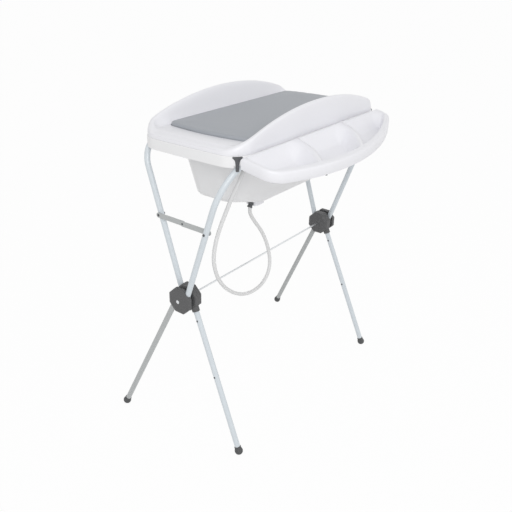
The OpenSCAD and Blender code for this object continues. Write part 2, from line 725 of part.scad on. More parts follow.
module changer_top() color("white") place() difference() {
    union() {
        translate([0, 0, lip_z]) linear_extrude(lip_h) rounded(rim_l, rim_w, rim_r);
        translate([0, 0, lip_z + lip_h - 1]) linear_extrude(deck_h + 1) rounded(deck_l, deck_w, deck_r);
        for (side = ends) wing(side);
        for (sx = ends) {
            translate([sx * hinge_x, hinge_y, hinge_z]) along_x(knuckle_w, ear_r);
            translate([sx * hinge_x - knuckle_w / 2, rim_w / 2 - 2, hinge_z]) cube([knuckle_w, 6, 10]);
        }
    }
    for (sx = ends) translate([sx * hinge_x, hinge_y, hinge_z]) along_x(2 * knuckle_w, pin_d / 2 + run_fit);
    changer_hollow();
    translate([0, 0, deck_z - mat_seat]) recess_slab(mat_t, 0);
}

module changer_mat() color("slategray") place() translate([mat_x, 0, deck_z - mat_seat + seat_gap])
    linear_extrude(mat_t) rounded(mat_l, mat_w, mat_r);

// ---- Organiser tray ----

tray_z = rim_z - 2;
tray_r = 58;
bowl_gap = 22;
bowl_y0 = -5;
bowl_slack = 14;
bowl_corner = 22;
bowl_taper = 9;
ridge_xs = [-150, 68];
tongue_w = 24;
tongue_l = 6.5;
tongue_t = 4;
tongue_x = 150;
slot_gap = 0.4;
tongue_z = rim_z - skirt_h + 2;
peg_spread = 118;
peg_y = 14 - tray_reach;
peg_r = 4;
peg_h = 6;
peg_boss_r = 5;
peg_drop = tray_wall_h + 3;

module tray_outline(inset) offset(delta = -inset) offset(r = tray_r) offset(delta = -tray_r) intersection() {
    translate([tray_arc_x, tray_front_y + tray_arc_r]) circle(r = tray_arc_r, $fn = 240);
    translate([-tray_l / 2, tray_front_y - 10]) square([tray_l, tray_reach + 10 + 2 * tray_r]);
}

// The tray's own frame, with its lip as the level plane
module lip_frame() translate([0, tray_back_y, tray_z]) rotate([tray_tilt, 0, 0]) children();

// Everything below the sloping lip, cut square at the back
module under_lip(drop, h) lip_frame()
    translate([-tray_l, -2 * tray_reach, -drop - h]) cube([2 * tray_l, 2 * tray_reach, h]);

module tray_slab(inset, drop, h) intersection() {
    translate([0, 0, tray_z - tray_reach]) linear_extrude(1.5 * tray_reach) intersection() {
        tray_outline(inset);
        translate([-tray_l, tray_front_y - 10]) square([2 * tray_l, tray_reach + 10 - inset]);
    }
    under_lip(drop, h);
}

// One tapered compartment between two places along the tray
module bowl(x0, x1, grow, depth) {
    front = [for (x = [x0, x1]) tray_front_y + tray_arc_r
        - sqrt(tray_arc_r * tray_arc_r - (x - tray_arc_x) * (x - tray_arc_x)) + bowl_gap];
    mouth_z = grow > 0 ? -tray_wall : 1;
    hull() for (deep = [false, true]) for (i = [0, 1]) for (back = [false, true]) {
        inward = bowl_corner + (deep ? bowl_taper : 0);
        x = i == 0 ? x0 + inward : x1 - inward;
        back_y = bowl_y0 - inward;
        y = back ? back_y : min(back_y, front[i] - tray_back_y + inward);
        lip_frame() translate([x, y, deep ? -depth : mouth_z])
            cylinder(h = 0.5, r = bowl_corner + grow, $fn = 24);
    }
}

bowl_x = [[-tray_l / 2 + bowl_slack, ridge_xs[0] - ridge_w / 2],
    [ridge_xs[0] + ridge_w / 2, ridge_xs[1] - ridge_w / 2],
    [ridge_xs[1] + ridge_w / 2, tray_l / 2 - bowl_slack]];

// Short tongues on the tray's back wall that snap into slots in the bath skirt
module tongues(gap) for (sx = ends)
    translate([sx * tongue_x - tongue_w / 2 - gap, tray_back_y - tray_wall / 2 - gap, tongue_z - gap])
        cube([tongue_w + 2 * gap, tongue_l + tray_wall / 2 + 2 * gap, tongue_t + 2 * gap]);

module organiser_tray() color("white") place() difference() {
    union() {
        tray_slab(0, 0, tray_wall);
        difference() {
            tray_slab(0, 0, tray_wall_h);
            tray_slab(tray_wall, tray_wall - cut, tray_wall_h + 40);
        }
        for (b = bowl_x) bowl(b[0], b[1], tray_wall, bowl_h + tray_wall);
        peg_spots() translate([0, 0, -peg_drop]) cylinder(h = peg_drop - 1, r = peg_boss_r);
        tongues(0);
    }
    for (b = bowl_x) bowl(b[0], b[1], 0, bowl_h);
}

// Buffers under two bosses inside the front wall
module peg_spots() lip_frame() for (sx = ends) translate([tray_arc_x + sx * peg_spread, peg_y, 0]) children();
module tray_pegs() color("dimgray") place() peg_spots()
    translate([0, 0, -peg_drop - peg_h - 0.1]) cylinder(h = peg_h, r = peg_r);

front_upper_tube();
hub_outer_near();
hub_outer_far();
back_leg_near();
back_leg_far();
back_foot_near();
back_foot_far();
tie_rod();
rod_nuts();
hub_washers();
hub_screws_outer();
bracket_front_near();
bracket_front_far();
rivets_back_legs();
brace_bolt_front();
back_upper_tube();
hub_inner_near();
hub_inner_far();
front_leg_near();
front_leg_far();
front_foot_near();
front_foot_far();
hub_screws_inner();
bracket_back_near();
bracket_back_far();
rivets_front_legs();
brace_bolt_back();
brace_bar_front();
brace_stud();
brace_bar_back();
brace_cap();
bath_tub();
drain_sump();
drain_seal();
hose_connector();
drain_hose();
hose_clip();
changer_hinge_pins();
drain_plug();
plug_ring();
changer_top();
changer_mat();
organiser_tray();
tray_pegs();
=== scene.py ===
"""Baby bath and changing table on a folding cross-leg stand."""

import functools
import json
import math

import bmesh
import bpy
from mathutils import Euler, Matrix, Vector


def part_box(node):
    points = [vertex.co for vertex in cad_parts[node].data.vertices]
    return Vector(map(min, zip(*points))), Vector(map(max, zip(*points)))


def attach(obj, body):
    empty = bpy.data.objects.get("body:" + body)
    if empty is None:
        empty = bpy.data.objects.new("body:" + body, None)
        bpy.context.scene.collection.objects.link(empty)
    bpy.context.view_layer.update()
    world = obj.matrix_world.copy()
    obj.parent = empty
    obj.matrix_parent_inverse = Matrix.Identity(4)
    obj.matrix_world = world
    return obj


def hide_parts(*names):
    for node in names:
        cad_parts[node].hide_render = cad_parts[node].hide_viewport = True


bl_info = {
    "name": "Bath and changing table",
    "version": (1, 0, 0),
    "blender": (4, 5, 0),
    "location": "View3D > Sidebar > Bath table",
    "description": "Builds the pieces of a baby bath with a changing top on a folding stand",
    "category": "Object",
}

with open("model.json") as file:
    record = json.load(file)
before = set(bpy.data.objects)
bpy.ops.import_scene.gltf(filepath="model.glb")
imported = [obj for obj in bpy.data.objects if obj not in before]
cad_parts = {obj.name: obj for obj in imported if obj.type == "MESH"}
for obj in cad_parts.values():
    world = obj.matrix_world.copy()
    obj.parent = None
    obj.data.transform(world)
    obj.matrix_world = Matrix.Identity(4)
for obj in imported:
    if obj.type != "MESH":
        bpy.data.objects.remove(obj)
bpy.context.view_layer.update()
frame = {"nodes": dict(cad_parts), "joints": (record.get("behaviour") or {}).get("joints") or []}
NEAR, FAR = ENDS = (-1, 1)
FRONT, BACK = SIDES = (-1, 1)
END_NAMES = {NEAR: "near", FAR: "far"}
SIDE_NAMES = {FRONT: "front", BACK: "back"}
JOINTS = {joint["name"]: joint for joint in frame["joints"]}
# The stand's middle plane and the height of its hubs, from the fold's axis
_, CENTRE_Y, HUB_Z = JOINTS["frame_fold"]["pos_m"]
_, HINGE_Y, HINGE_Z = JOINTS["changer_flip"]["pos_m"]
TUBE_HIGH = {side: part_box(name + "_upper_tube")[1] for side, name in SIDE_NAMES.items()}
TOP_FOOT_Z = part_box("changer_top")[0].z
MAT_LOW, MAT_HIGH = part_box("changer_mat")
TRAY_LOW, TRAY_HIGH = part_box("organiser_tray")
TRAY_HALF = TRAY_HIGH.x
# The gap between pieces that rest on each other, and a small step that softens an edge
HAIR = 0.0003
SOFT_STEP = 0.001
TRAY_BACK_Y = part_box("bath_tub")[0].y - HAIR
TRAY_REACH = TRAY_BACK_Y - TRAY_LOW.y


# ---- Sizes and colours that a user would change ----


def length(label, text, default):
    """A size in metres for a property group."""
    return bpy.props.FloatProperty(name=label, description=text, default=default, unit="LENGTH",
                                   precision=4)


def angle(label, text, degrees):
    """A lean in degrees, kept in radians as Blender does."""
    return bpy.props.FloatProperty(name=label, description=text, default=math.radians(degrees),
                                   subtype="ANGLE")


def to_linear(value):
    """Screen value to light value."""
    return value / 12.92 if value <= 0.04045 else ((value + 0.055) / 1.055) ** 2.4


def colour(label, text, *levels):
    """A colour from its screen values, 0 to 255."""
    linear = [to_linear(level / 255) for level in levels]
    return bpy.props.FloatVectorProperty(name=label, description=text, default=(*linear, 1.0),
                                         size=4, min=0, max=1, subtype="COLOR")


class StandSizes(bpy.types.PropertyGroup):
    """Sizes of the folding stand."""

    tube_r: length("Tube radius", "Outside radius of the stand tubes", 0.009)
    front_bend_r: length("Front bends", "Bend radius of the front tube under the rim", 0.150)
    back_bend_r: length("Back bends", "Bend radius of the back tube under the rim", 0.080)
    rail_drop: length("Rail drop", "How far the rails hang below the rim", 0.002)
    socket_offset: length("Socket offset", "Distance of a tube's axis from its hub's centre", 0.017)
    socket_depth: length("Socket depth", "How far a tube runs past the hub's centre", 0.019)
    tube_tilt: angle("Tube lean", "Lean of the upper tubes", 18.4)
    back_tilt: angle("Back leg lean", "Lean of the back legs", 24.4)
    front_tilt: angle("Front leg lean", "Lean of the front legs", 23.4)
    back_splay: angle("Back leg splay", "Outward splay of the back legs", 5.4)
    front_splay: angle("Front leg splay", "Outward splay of the front legs", 2.1)
    rivet_top: length("Upper rivet", "Upper rivet's distance below the hub along the leg", 0.081)
    rivet_mid: length("Lower rivet", "Lower rivet's distance below the hub along the leg", 0.272)
    rivet_r: length("Rivet radius", "Radius of a rivet head", 0.0034)
    foot_r: length("Foot radius", "Radius of the round feet", 0.0134)
    hub_r: length("Hub radius", "Radius of the eight-sided hubs at their corners", 0.0445)
    sleeve_end: length("Sleeves", "How far below the hub the leg sleeves reach", 0.050)
    bolt_r: length("Bolt radius", "Radius of a brace bolt's head", 0.0042)


class BathSizes(bpy.types.PropertyGroup):
    """Sizes of the bath."""

    wall: length("Wall", "Wall of the bath", 0.0035)
    rim_l: length("Rim length", "Length of the rim", 0.780)
    rim_w: length("Rim width", "Width of the rim", 0.380)
    rim_r: length("Rim corner", "Corner radius of the rim's far end", 0.060)
    near_rim_r: length("Near rim corner", "Corner radius of the rim's near end", 0.066)
    rim_bow: length("Rim bow", "How far the rim's near end bows out", 0.004)
    skirt_h: length("Skirt", "Height of the skirt round the rim", 0.032)
    edge_r: length("Rim edge", "Radius of the rim's outer edge", 0.003)
    body_near: length("Body near", "Reach of the body to the near end at the rim", 0.335)
    body_far: length("Body far", "Reach of the body to the far end at the rim", 0.340)
    body_w: length("Body width", "Width of the body at the rim", 0.276)
    body_h: length("Body depth", "Depth of the body", 0.217)
    near_r: length("Near corners", "Corner radius of the body's near end at the rim", 0.130)
    far_r: length("Far corners", "Corner radius of the body's far end at the rim", 0.090)
    floor_w: length("Floor width", "Width of the body at the bottom", 0.180)
    floor_near: length("Floor near", "Reach of the flat bottom to the near end", 0.150)
    floor_far: length("Floor far", "Reach of the flat bottom to the far end", 0.290)
    floor_r: length("Floor corners", "Corner radius of the bottom", 0.050)
    foot_near: length("Near wall foot", "Reach of the foot of the sloping near wall", 0.272)
    foot_h: length("Near wall depth", "Depth of the foot of the sloping near wall", 0.182)
    foot_w: length("Near wall width", "Width of the body at the near wall's foot", 0.170)
    bottom_r: length("Bottom edge", "Radius of the edge between walls and bottom", 0.012)


class ChangerSizes(bpy.types.PropertyGroup):
    """Sizes of the changing top and its mat."""

    lip_h: length("Lip", "Height of the lip above the bath rim", 0.014)
    deck_h: length("Deck", "Height of the deck above the lip", 0.006)
    wall: length("Wall", "Wall of the top", 0.0035)
    wing_h: length("Wing", "Height of the side wings above the lip", 0.080)
    wing_reach: length("Wing reach", "Where the wings' arch meets the lip", 0.388)
    wing_fall: bpy.props.FloatProperty(
        name="Wing fall", description="How late the arch falls to its ends", default=0.85)
    mat_seat: length("Mat recess", "Depth of the mat's recess", 0.011)
    mat_gap: length("Mat gap", "Gap round the mat in its recess", 0.001)
    mat_r: length("Mat corners", "Corner radius of the mat", 0.022)
    mat_bow: length("Mat bow", "How far the mat's ends bow out between their corners", 0.016)
    mat_inset: length("Mat inset", "How far the mat's long sides lie inside its seat", 0.007)
    crown: length("Mat crown", "How far the mat rises in the middle", 0.003)


class TraySizes(bpy.types.PropertyGroup):
    """Sizes of the organiser tray."""

    wall: length("Wall", "Wall of the tray", 0.003)
    skirt_h: length("Skirt", "Height of the outer wall", 0.031)
    arc_r: length("Front arc", "Radius of the front edge", 0.889)
    arc_x: length("Front arc middle", "Lengthwise place of the front edge's middle", -0.060)
    corner_r: length("Corners", "Radius of the front corners", 0.058)
    tilt: angle("Slope", "Slope of the lip down towards the front", 10)
    bowl_h: length("Bowl depth", "Depth of the compartments", 0.039)
    lip_w: length("Lip", "Width of the lip round the compartments", 0.012)
    flank: length("Flanks", "Width of the compartments' sloping sides", 0.062)
    ridge_w: length("Ridges", "Width of the ridges' tops", 0.012)
    steep: length("Steep flanks", "Width of the ridges' far sides", 0.016)
    near_ridge: length("Near ridge", "Lengthwise place of the near ridge at the rim", -0.125)
    near_sweep: length("Near sweep", "How far the near ridge sweeps to the near end", 0.075)
    far_ridge: length("Far ridge", "Lengthwise place of the far ridge at the rim", 0.129)
    far_sweep: length("Far sweep", "How far the far ridge sweeps to the near end", 0.104)
    front_lip: length("Front lip", "Width of the lip in front of the compartments", 0.019)
    front_w: length("Front wall", "Width of the compartments' front walls", 0.010)


class Finishes(bpy.types.PropertyGroup):
    """Colours of the finishes."""

    enamel: colour("Enamel", "Pale blue-grey enamel of the stand", 215, 222, 227)
    # The stand's own enamel, painted darker and greyer as painted shade on the back legs, the brace
    # and the back legs' rivets
    leg_enamel: colour("Leg enamel", "Greyer enamel of the back legs and brace", 182, 185, 185)
    hub: colour("Hubs", "Dark grey nylon of the hubs", 88, 88, 89)
    foot: colour("Feet", "Dark rubber of the feet", 86, 87, 88)
    bracket: colour("Brackets", "Dark nylon of brackets, elbow and clip", 86, 87, 90)
    steel: colour("Steel", "Zinc-plated steel", 222, 224, 226)
    rivet: colour("Rivets", "Dark rivets", 88, 89, 92)
    bath: colour("Bath", "Pale polypropylene of the bath", 241, 241, 242)
    top: colour("White plastic", "White polypropylene", 240, 240, 244)
    mat: colour("Mat cover", "Grey coated cloth", 163, 167, 173)
    hose: colour("Hose", "Milky clear hose", 236, 236, 236)
    rubber: colour("Seal", "Grey rubber of plug and seal", 150, 152, 154)


class TableSettings(bpy.types.PropertyGroup):
    """All sizes and finishes of the table."""

    stand: bpy.props.PointerProperty(type=StandSizes)
    bath: bpy.props.PointerProperty(type=BathSizes)
    changer: bpy.props.PointerProperty(type=ChangerSizes)
    tray: bpy.props.PointerProperty(type=TraySizes)
    finish: bpy.props.PointerProperty(type=Finishes)


def settings():
    """The table's settings on the current scene."""
    return bpy.context.scene.bath_table


# ---- Nodes ----


def wire(tree, node, sockets):
    """Gives each of a node's sockets a value or a link from another node's output."""
    for key, value in sockets.items():
        if isinstance(value, bpy.types.NodeSocket):
            tree.links.new(value, node.inputs[key])
        else:
            node.inputs[key].default_value = value


def add(tree, kind, sockets=None, **properties):
    """A node with its properties and its sockets set."""
    node = tree.nodes.new(kind)
    for key, value in properties.items():
        setattr(node, key, value)
    wire(tree, node, sockets or {})
    return node


def maths(tree, operation, *values):
    """The result of a maths node on values or outputs."""
    return add(tree, "ShaderNodeMath", dict(enumerate(values)), operation=operation).outputs[0]


def new_tree(kind, name, inputs, outputs):
    """An empty node group with named sockets, its inputs' sockets and its output node."""
    tree = bpy.data.node_groups.new(name, kind + "NodeTree")
    for label, value_kind, *default in inputs:
        socket = tree.interface.new_socket(label, in_out="INPUT",
                                           socket_type="NodeSocket" + value_kind)
        if default:
            socket.default_value = default[0]
    for label, value_kind in outputs:
        tree.interface.new_socket(label, in_out="OUTPUT", socket_type="NodeSocket" + value_kind)
    given = tree.nodes.new("NodeGroupInput").outputs
    return tree, given, tree.nodes.new("NodeGroupOutput")


def emptied_nodes(block):
    """The node tree of a new material or world, emptied."""
    block.use_nodes = True
    block.node_tree.nodes.clear()
    return block.node_tree


# ---- Materials ----


@functools.cache
def variation_group():
    """Fine grain and slow tone changes of a moulded, coated or cast surface."""
    group, given, end = new_tree("Shader", "Surface variation", [
        ("Color", "Color", (0.8, 0.8, 0.8, 1)), ("Tone", "Float", 0.05),
        ("Patch size", "Float", 9.0), ("Roughness", "Float", 0.4),
        ("Roughness spread", "Float", 0.08), ("Grain size", "Float", 900.0),
    ], [("Color", "Color"), ("Roughness", "Float"), ("Height", "Float")])
    place = add(group, "ShaderNodeTexCoord").outputs["Object"]
    patches, grain = (
        add(group, "ShaderNodeTexNoise", {"Detail": detail, "Vector": place, "Scale": given[size]})
        for detail, size in ((3, "Patch size"), (2, "Grain size"))
    )
    centred = maths(group, "SUBTRACT", patches.outputs["Fac"], 0.5)
    change = maths(group, "MULTIPLY_ADD", centred, given["Tone"], 1)
    tint = add(group, "ShaderNodeVectorMath", {0: given["Color"], "Scale": change},
               operation="SCALE")
    gloss = maths(group, "MULTIPLY_ADD", centred, given["Roughness spread"], given["Roughness"])
    wire(group, end, {"Color": tint.outputs[0], "Roughness": gloss,
                      "Height": grain.outputs["Fac"]})
    return group


@functools.cache
def scuff_group():
    """Sparse short scuffs and dust specks, as a mask."""
    group, given, end = new_tree("Shader", "Scuffs", [("Scale", "Float", 60.0),
                                                      ("Amount", "Float", 0.1)],
                                 [("Mask", "Float")])
    place = add(group, "ShaderNodeTexCoord").outputs["Object"]
    stretch = add(group, "ShaderNodeMapping", {"Scale": (1, 4, 1), "Vector": place})
    noise = add(group, "ShaderNodeTexNoise", {
        "Detail": 4, "Vector": stretch.outputs["Vector"], "Scale": given["Scale"]})
    pick = add(group, "ShaderNodeMapRange", {
        "From Min": 0.66, "From Max": 0.74, "Value": noise.outputs["Fac"]})
    share = maths(group, "MULTIPLY", pick.outputs["Result"], given["Amount"])
    wire(group, end, {"Mask": share})
    return group


def weave_height(tree):
    """The height of a fine cloth weave: two sets of threads across each other."""
    place = add(tree, "ShaderNodeTexCoord").outputs["Object"]
    threads = []
    for turn in (0, 90):
        turned = add(tree, "ShaderNodeMapping", {
            "Rotation": (0, 0, math.radians(turn)), "Vector": place})
        threads.append(add(tree, "ShaderNodeTexWave", {
            "Scale": 260, "Distortion": 0.6, "Vector": turned.outputs["Vector"]}).outputs["Fac"])
    return maths(tree, "MAXIMUM", *threads)


def bump(tree, strength, depth, height, **sockets):
    """The normal of a surface with some relief."""
    node = add(tree, "ShaderNodeBump", {"Strength": strength, "Distance": depth, "Height": height,
                                        **sockets})
    return node.outputs["Normal"]


# How each finish differs from a plain moulded surface. Tone and spread are how much colour and
# roughness vary in patches, relief and depth are for the grain, and scuffs is their amount.
LOOKS = {
    "enamel": dict(name="Pale enamel", roughness=0.32, tone=0.04, patch=6, grain=1400, relief=0.08,
                   scuffs=0.12, scuff_scale=40, scuff_colour=(0.45, 0.46, 0.48), coat=0.25),
    # A darker copy of the stand's enamel: painted shade for the back legs, the brace and their
    # rivets
    "leg_enamel": dict(name="Grey enamel", roughness=0.34, patch=6, grain=1400, relief=0.08,
                       scuffs=0.15, scuff_scale=40, scuff_colour=(0.3, 0.3, 0.31), coat=0.2),
    "hub": dict(name="Dark nylon", roughness=0.55, tone=0.12, patch=30, grain=1800, relief=0.35,
                depth=0.0003, scuffs=0.25, scuff_scale=90, scuff_colour=(0.22, 0.22, 0.22)),
    "foot": dict(name="Foot rubber", roughness=0.72, tone=0.12, patch=40, grain=1500, relief=0.3,
                 depth=0.0003, scuffs=0.35, scuff_scale=120, scuff_colour=(0.3, 0.3, 0.3)),
    "bracket": dict(name="Bracket nylon", roughness=0.5, tone=0.1, patch=40, grain=1800,
                    relief=0.25, depth=0.0002, scuffs=0.15, scuff_scale=120,
                    scuff_colour=(0.2, 0.2, 0.2)),
    "steel": dict(name="Zinc steel", roughness=0.38, tone=0.1, patch=120, grain=2400, relief=0.15,
                  metallic=1.0),
    "rivet": dict(name="Dark rivet", roughness=0.45, tone=0.15, patch=200, grain=2400, relief=0.15,
                  metallic=0.6),
    "bath": dict(name="Bath polypropylene", roughness=0.3, patch=5, spread=0.1, grain=700,
                 relief=0.04, coat=0.1),
    "top": dict(name="White polypropylene", roughness=0.34, tone=0.03, patch=5, grain=800),
    "mat": dict(name="Coated cloth", roughness=0.58, tone=0.06, patch=7, spread=0.1, grain=1600,
                relief=0.25, depth=0.0003, sheen=0.15, weave=0.18),
    "hose": dict(name="Milky hose", roughness=0.22, tone=0.04, patch=20, grain=700, relief=0.02,
                 transmission=0.12, ior=1.3),
    "rubber": dict(name="Grey rubber", roughness=0.6, tone=0.1, patch=60, grain=1500, relief=0.2),
}


def make_finish(base, name, roughness, tone=0.05, patch=9, spread=0.08, grain=900, relief=0.05,
                depth=0.0001, scuffs=0, scuff_scale=60, scuff_colour=(0.5, 0.5, 0.5), metallic=0,
                coat=0, sheen=0, transmission=0, ior=1.5, weave=0):
    """A material from the shared groups: tone patches, grain, scuffs and gloss."""
    made = bpy.data.materials.new(name)
    tree = emptied_nodes(made)
    variation = add(tree, "ShaderNodeGroup", {
        "Color": base, "Tone": tone, "Patch size": patch, "Roughness": roughness,
        "Roughness spread": spread, "Grain size": grain,
    }, node_tree=variation_group()).outputs
    skin = variation["Color"]
    if scuffs:
        marks = add(tree, "ShaderNodeGroup", {"Scale": scuff_scale, "Amount": scuffs},
                    node_tree=scuff_group())
        blend = add(tree, "ShaderNodeMix", {
            "Factor": marks.outputs["Mask"], "A": skin, "B": (*scuff_colour, 1),
        }, data_type="RGBA")
        skin = blend.outputs["Result"]
    normal = bump(tree, relief, depth, variation["Height"])
    if weave:
        normal = bump(tree, weave, depth, weave_height(tree), Normal=normal)
    surface = add(tree, "ShaderNodeBsdfPrincipled", {
        "Base Color": skin, "Roughness": variation["Roughness"], "Normal": normal,
        "Metallic": metallic, "Coat Weight": coat, "Sheen Weight": sheen,
        "Transmission Weight": transmission, "IOR": ior,
    })
    add(tree, "ShaderNodeOutputMaterial", {"Surface": surface.outputs[0]})
    made.diffuse_color = base
    return made


@functools.cache
def finish(key):
    """The material of one of the finishes, in its colour from the settings."""
    return make_finish(tuple(getattr(settings().finish, key)), **LOOKS[key])


# ---- Meshes ----

# Degrees between two faces from which their edge stays sharp, and how near doubles lie
SHARP = 35
MERGE_DISTANCE = 1e-5


def smooth(t):
    """A soft step from 0 to 1."""
    t = min(max(t, 0.0), 1.0)
    return t * t * (3 - 2 * t)


def between(start, end, share):
    """The value a share of the way from start to end."""
    return start + (end - start) * share


def link_object(name, data):
    """A new object at the origin, in the scene."""
    made = bpy.data.objects.new(name, data)
    bpy.context.scene.collection.objects.link(made)
    return made


def mesh_object(name, bm, sharp=SHARP):
    """An object from a bmesh: doubles merged, faces outwards, smooth between sharp edges."""
    bmesh.ops.remove_doubles(bm, verts=bm.verts, dist=MERGE_DISTANCE)
    bmesh.ops.recalc_face_normals(bm, faces=bm.faces)
    mesh = bpy.data.meshes.new(name)
    bm.to_mesh(mesh)
    bm.free()
    mesh.shade_smooth()
    mesh.set_sharp_from_angle(angle=math.radians(sharp))
    return link_object(name, mesh)


def plain_mesh(piece):
    """A new mesh with the piece's modifiers made real."""
    graph = bpy.context.evaluated_depsgraph_get()
    mesh = bpy.data.meshes.new_from_object(piece.evaluated_get(graph))
    piece.modifiers.clear()
    return mesh


def modified(piece, kind, **properties):
    """The piece after one modifier, made real."""
    work = piece.modifiers.new(kind.title(), kind)
    for key, value in properties.items():
        setattr(work, key, value)
    piece.data = plain_mesh(piece)
    return piece


def dress(piece, material):
    """Gives a piece one material."""
    piece.data.materials.clear()
    piece.data.materials.append(material)


def hand_over(piece, body, slot, look, *nodes):
    """A finished piece rides on its body, takes its finish and stands for its CAD nodes."""
    dress(piece, finish(look))
    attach(piece, body)
    if nodes:
        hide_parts(*nodes)


def dress_nodes(look, *names):
    """Gives CAD nodes a finish."""
    for name in names:
        dress(frame["nodes"][name], finish(look))


# Steps round a rim corner, along a side and along an end
ARC_STEPS = 14
SIDE_STEPS = 44
END_STEPS = 16
LEAST_CORNER_R = 0.0005


def round_outline(x0, x1, near_w, far_w, near_r, far_r):
    """Points round a rectangle with round corners, wide as given at both ends."""
    near_r, far_r = max(near_r, LEAST_CORNER_R), max(far_r, LEAST_CORNER_R)
    near_y, far_y = near_w / 2 - near_r, far_w / 2 - far_r
    corners = [
        (x1 - far_r, -far_y, far_r, -90, END_STEPS),
        (x1 - far_r, far_y, far_r, 0, SIDE_STEPS),
        (x0 + near_r, near_y, near_r, 90, END_STEPS),
        (x0 + near_r, -near_y, near_r, 180, SIDE_STEPS),
    ]
    arcs = []
    for x, y, r, start, _ in corners:
        turns = [math.radians(start + 90 * step / ARC_STEPS) for step in range(ARC_STEPS + 1)]
        arcs.append([Vector((x + r * math.cos(a), y + r * math.sin(a))) for a in turns])
    points = []
    for arc, after, (*_, steps) in zip(arcs, arcs[1:] + arcs[:1], corners):
        points += arc + [arc[-1].lerp(after[0], step / steps) for step in range(1, steps)]
    return points


def at_height(points, z):
    """Outline points as a loop about the middle plane, at one height."""
    return [Vector((p.x, p.y + CENTRE_Y, z)) for p in points]


def round_edge(radius, steps, first=0):
    """Insets and drops round a quarter-round edge, from its side to its top."""
    turns = [math.radians(90 * i / steps) for i in range(first, steps + 1)]
    return [(radius * (1 - math.cos(turn)), radius * (1 - math.sin(turn))) for turn in turns]


def loft(loops, capped=True):
    """A bmesh of quads between closed loops that have the same number of points."""
    bm = bmesh.new()
    rows = [[bm.verts.new(point) for point in loop] for loop in loops]
    count = len(loops[0])
    for low, high in zip(rows, rows[1:]):
        for i in range(count):
            j = (i + 1) % count
            bm.faces.new((low[i], low[j], high[j], high[i]))
    if capped:
        bm.faces.new(rows[0])
        bm.faces.new(rows[-1])
    return bm


def turned_along_x(profile, y, z, sides, start=0.0):
    """A bmesh turned about an axis along X: the profile lists places on it and radii."""
    turns = [start + math.tau * i / sides for i in range(sides)]
    return loft([[Vector((x, y + r * math.cos(a), z + r * math.sin(a))) for a in turns]
                 for x, r in profile])


def add_cylinder(bm, start, end, radius, sides=32):
    """A capped cylinder between two points."""
    start, end = Vector(start), Vector(end)
    turn = (end - start).to_track_quat("Z", "Y").to_matrix().to_4x4()
    place = Matrix.Translation((start + end) / 2) @ turn
    bmesh.ops.create_cone(bm, cap_ends=True, segments=sides, radius1=radius, radius2=radius,
                          depth=(end - start).length, matrix=place)


def add_box(bm, low, high, turn=Matrix.Identity(4)):
    """A box between two corners, turned if asked."""
    low, high = Vector(low), Vector(high)
    place = Matrix.Translation((low + high) / 2) @ Matrix.Diagonal((*(high - low), 1))
    bmesh.ops.create_cube(bm, size=1, matrix=turn @ place)


# ---- Geometry Nodes ----


def new_geometry_tree(name, size):
    """An empty geometry tree with a material, a radius and one more size as its inputs."""
    inputs = [("Geometry", "Geometry"), ("Radius", "Float"), (size, "Float"),
              ("Material", "Material")]
    return new_tree("Geometry", name, inputs, [("Geometry", "Geometry")])


def close_tree(tree, geometry, given, end):
    """Ends a tree with Realize Instances and Set Material."""
    real = add(tree, "GeometryNodeRealizeInstances", {0: geometry}).outputs[0]
    paint = add(tree, "GeometryNodeSetMaterial", {"Geometry": real, "Material": given["Material"]})
    wire(tree, end, {0: paint.outputs[0]})
    return tree


def run_tree(piece, tree, **values):
    """Runs a geometry tree on a piece and keeps the result as a plain mesh."""
    work = piece.modifiers.new(tree.name, "NODES")
    work.node_group = tree
    sockets = {item.name.lower(): item.identifier for item in tree.interface.items_tree
               if item.in_out == "INPUT"}
    for key, value in values.items():
        work[sockets[key]] = value
    piece.data = plain_mesh(piece)


@functools.cache
def tube_tree():
    """A round tube along a path of straight runs, its corners bent to one radius."""
    tree, given, end = new_geometry_tree("Bent tube", "Bend")
    path = add(tree, "GeometryNodeMeshToCurve", {"Mesh": given["Geometry"]})
    bend = add(tree, "GeometryNodeFilletCurve", {
        "Count": 32, "Curve": path.outputs[0], "Radius": given["Bend"]}, mode="POLY")
    ring = add(tree, "GeometryNodeCurvePrimitiveCircle", {
        "Resolution": 40, "Radius": given["Radius"]})
    sweep = add(tree, "GeometryNodeCurveToMesh", {
        "Curve": bend.outputs[0], "Profile Curve": ring.outputs[0]})
    soft = add(tree, "GeometryNodeSetShadeSmooth", {"Geometry": sweep.outputs[0]})
    return close_tree(tree, soft.outputs[0], given, end)


@functools.cache
def heads_tree():
    """Domed fastener heads on points, each turned along its point's aim."""
    tree, given, end = new_geometry_tree("Fastener heads", "Height")
    ball = add(tree, "GeometryNodeMeshUVSphere", {
        "Segments": 20, "Rings": 10, "Radius": given["Radius"]})
    ratio = maths(tree, "DIVIDE", given["Height"], given["Radius"])
    flat = add(tree, "ShaderNodeCombineXYZ", {"X": 1, "Y": 1, "Z": ratio})
    squash = add(tree, "GeometryNodeTransform", {
        "Geometry": ball.outputs["Mesh"], "Scale": flat.outputs[0]})
    soft = add(tree, "GeometryNodeSetShadeSmooth", {"Geometry": squash.outputs[0]})
    aim = add(tree, "GeometryNodeInputNamedAttribute", data_type="FLOAT_VECTOR")
    wire(tree, aim, {"Name": "aim"})
    turn = add(tree, "FunctionNodeAlignRotationToVector", {
        "Vector": aim.outputs["Attribute"]}, axis="Z")
    put = add(tree, "GeometryNodeInstanceOnPoints", {
        "Points": given["Geometry"], "Instance": soft.outputs[0], "Rotation": turn.outputs[0]})
    return close_tree(tree, put.outputs[0], given, end)


def path_object(name, points):
    """An object holding a chain of edges."""
    mesh = bpy.data.meshes.new(name)
    mesh.from_pydata(points, [(i, i + 1) for i in range(len(points) - 1)], [])
    return link_object(name, mesh)


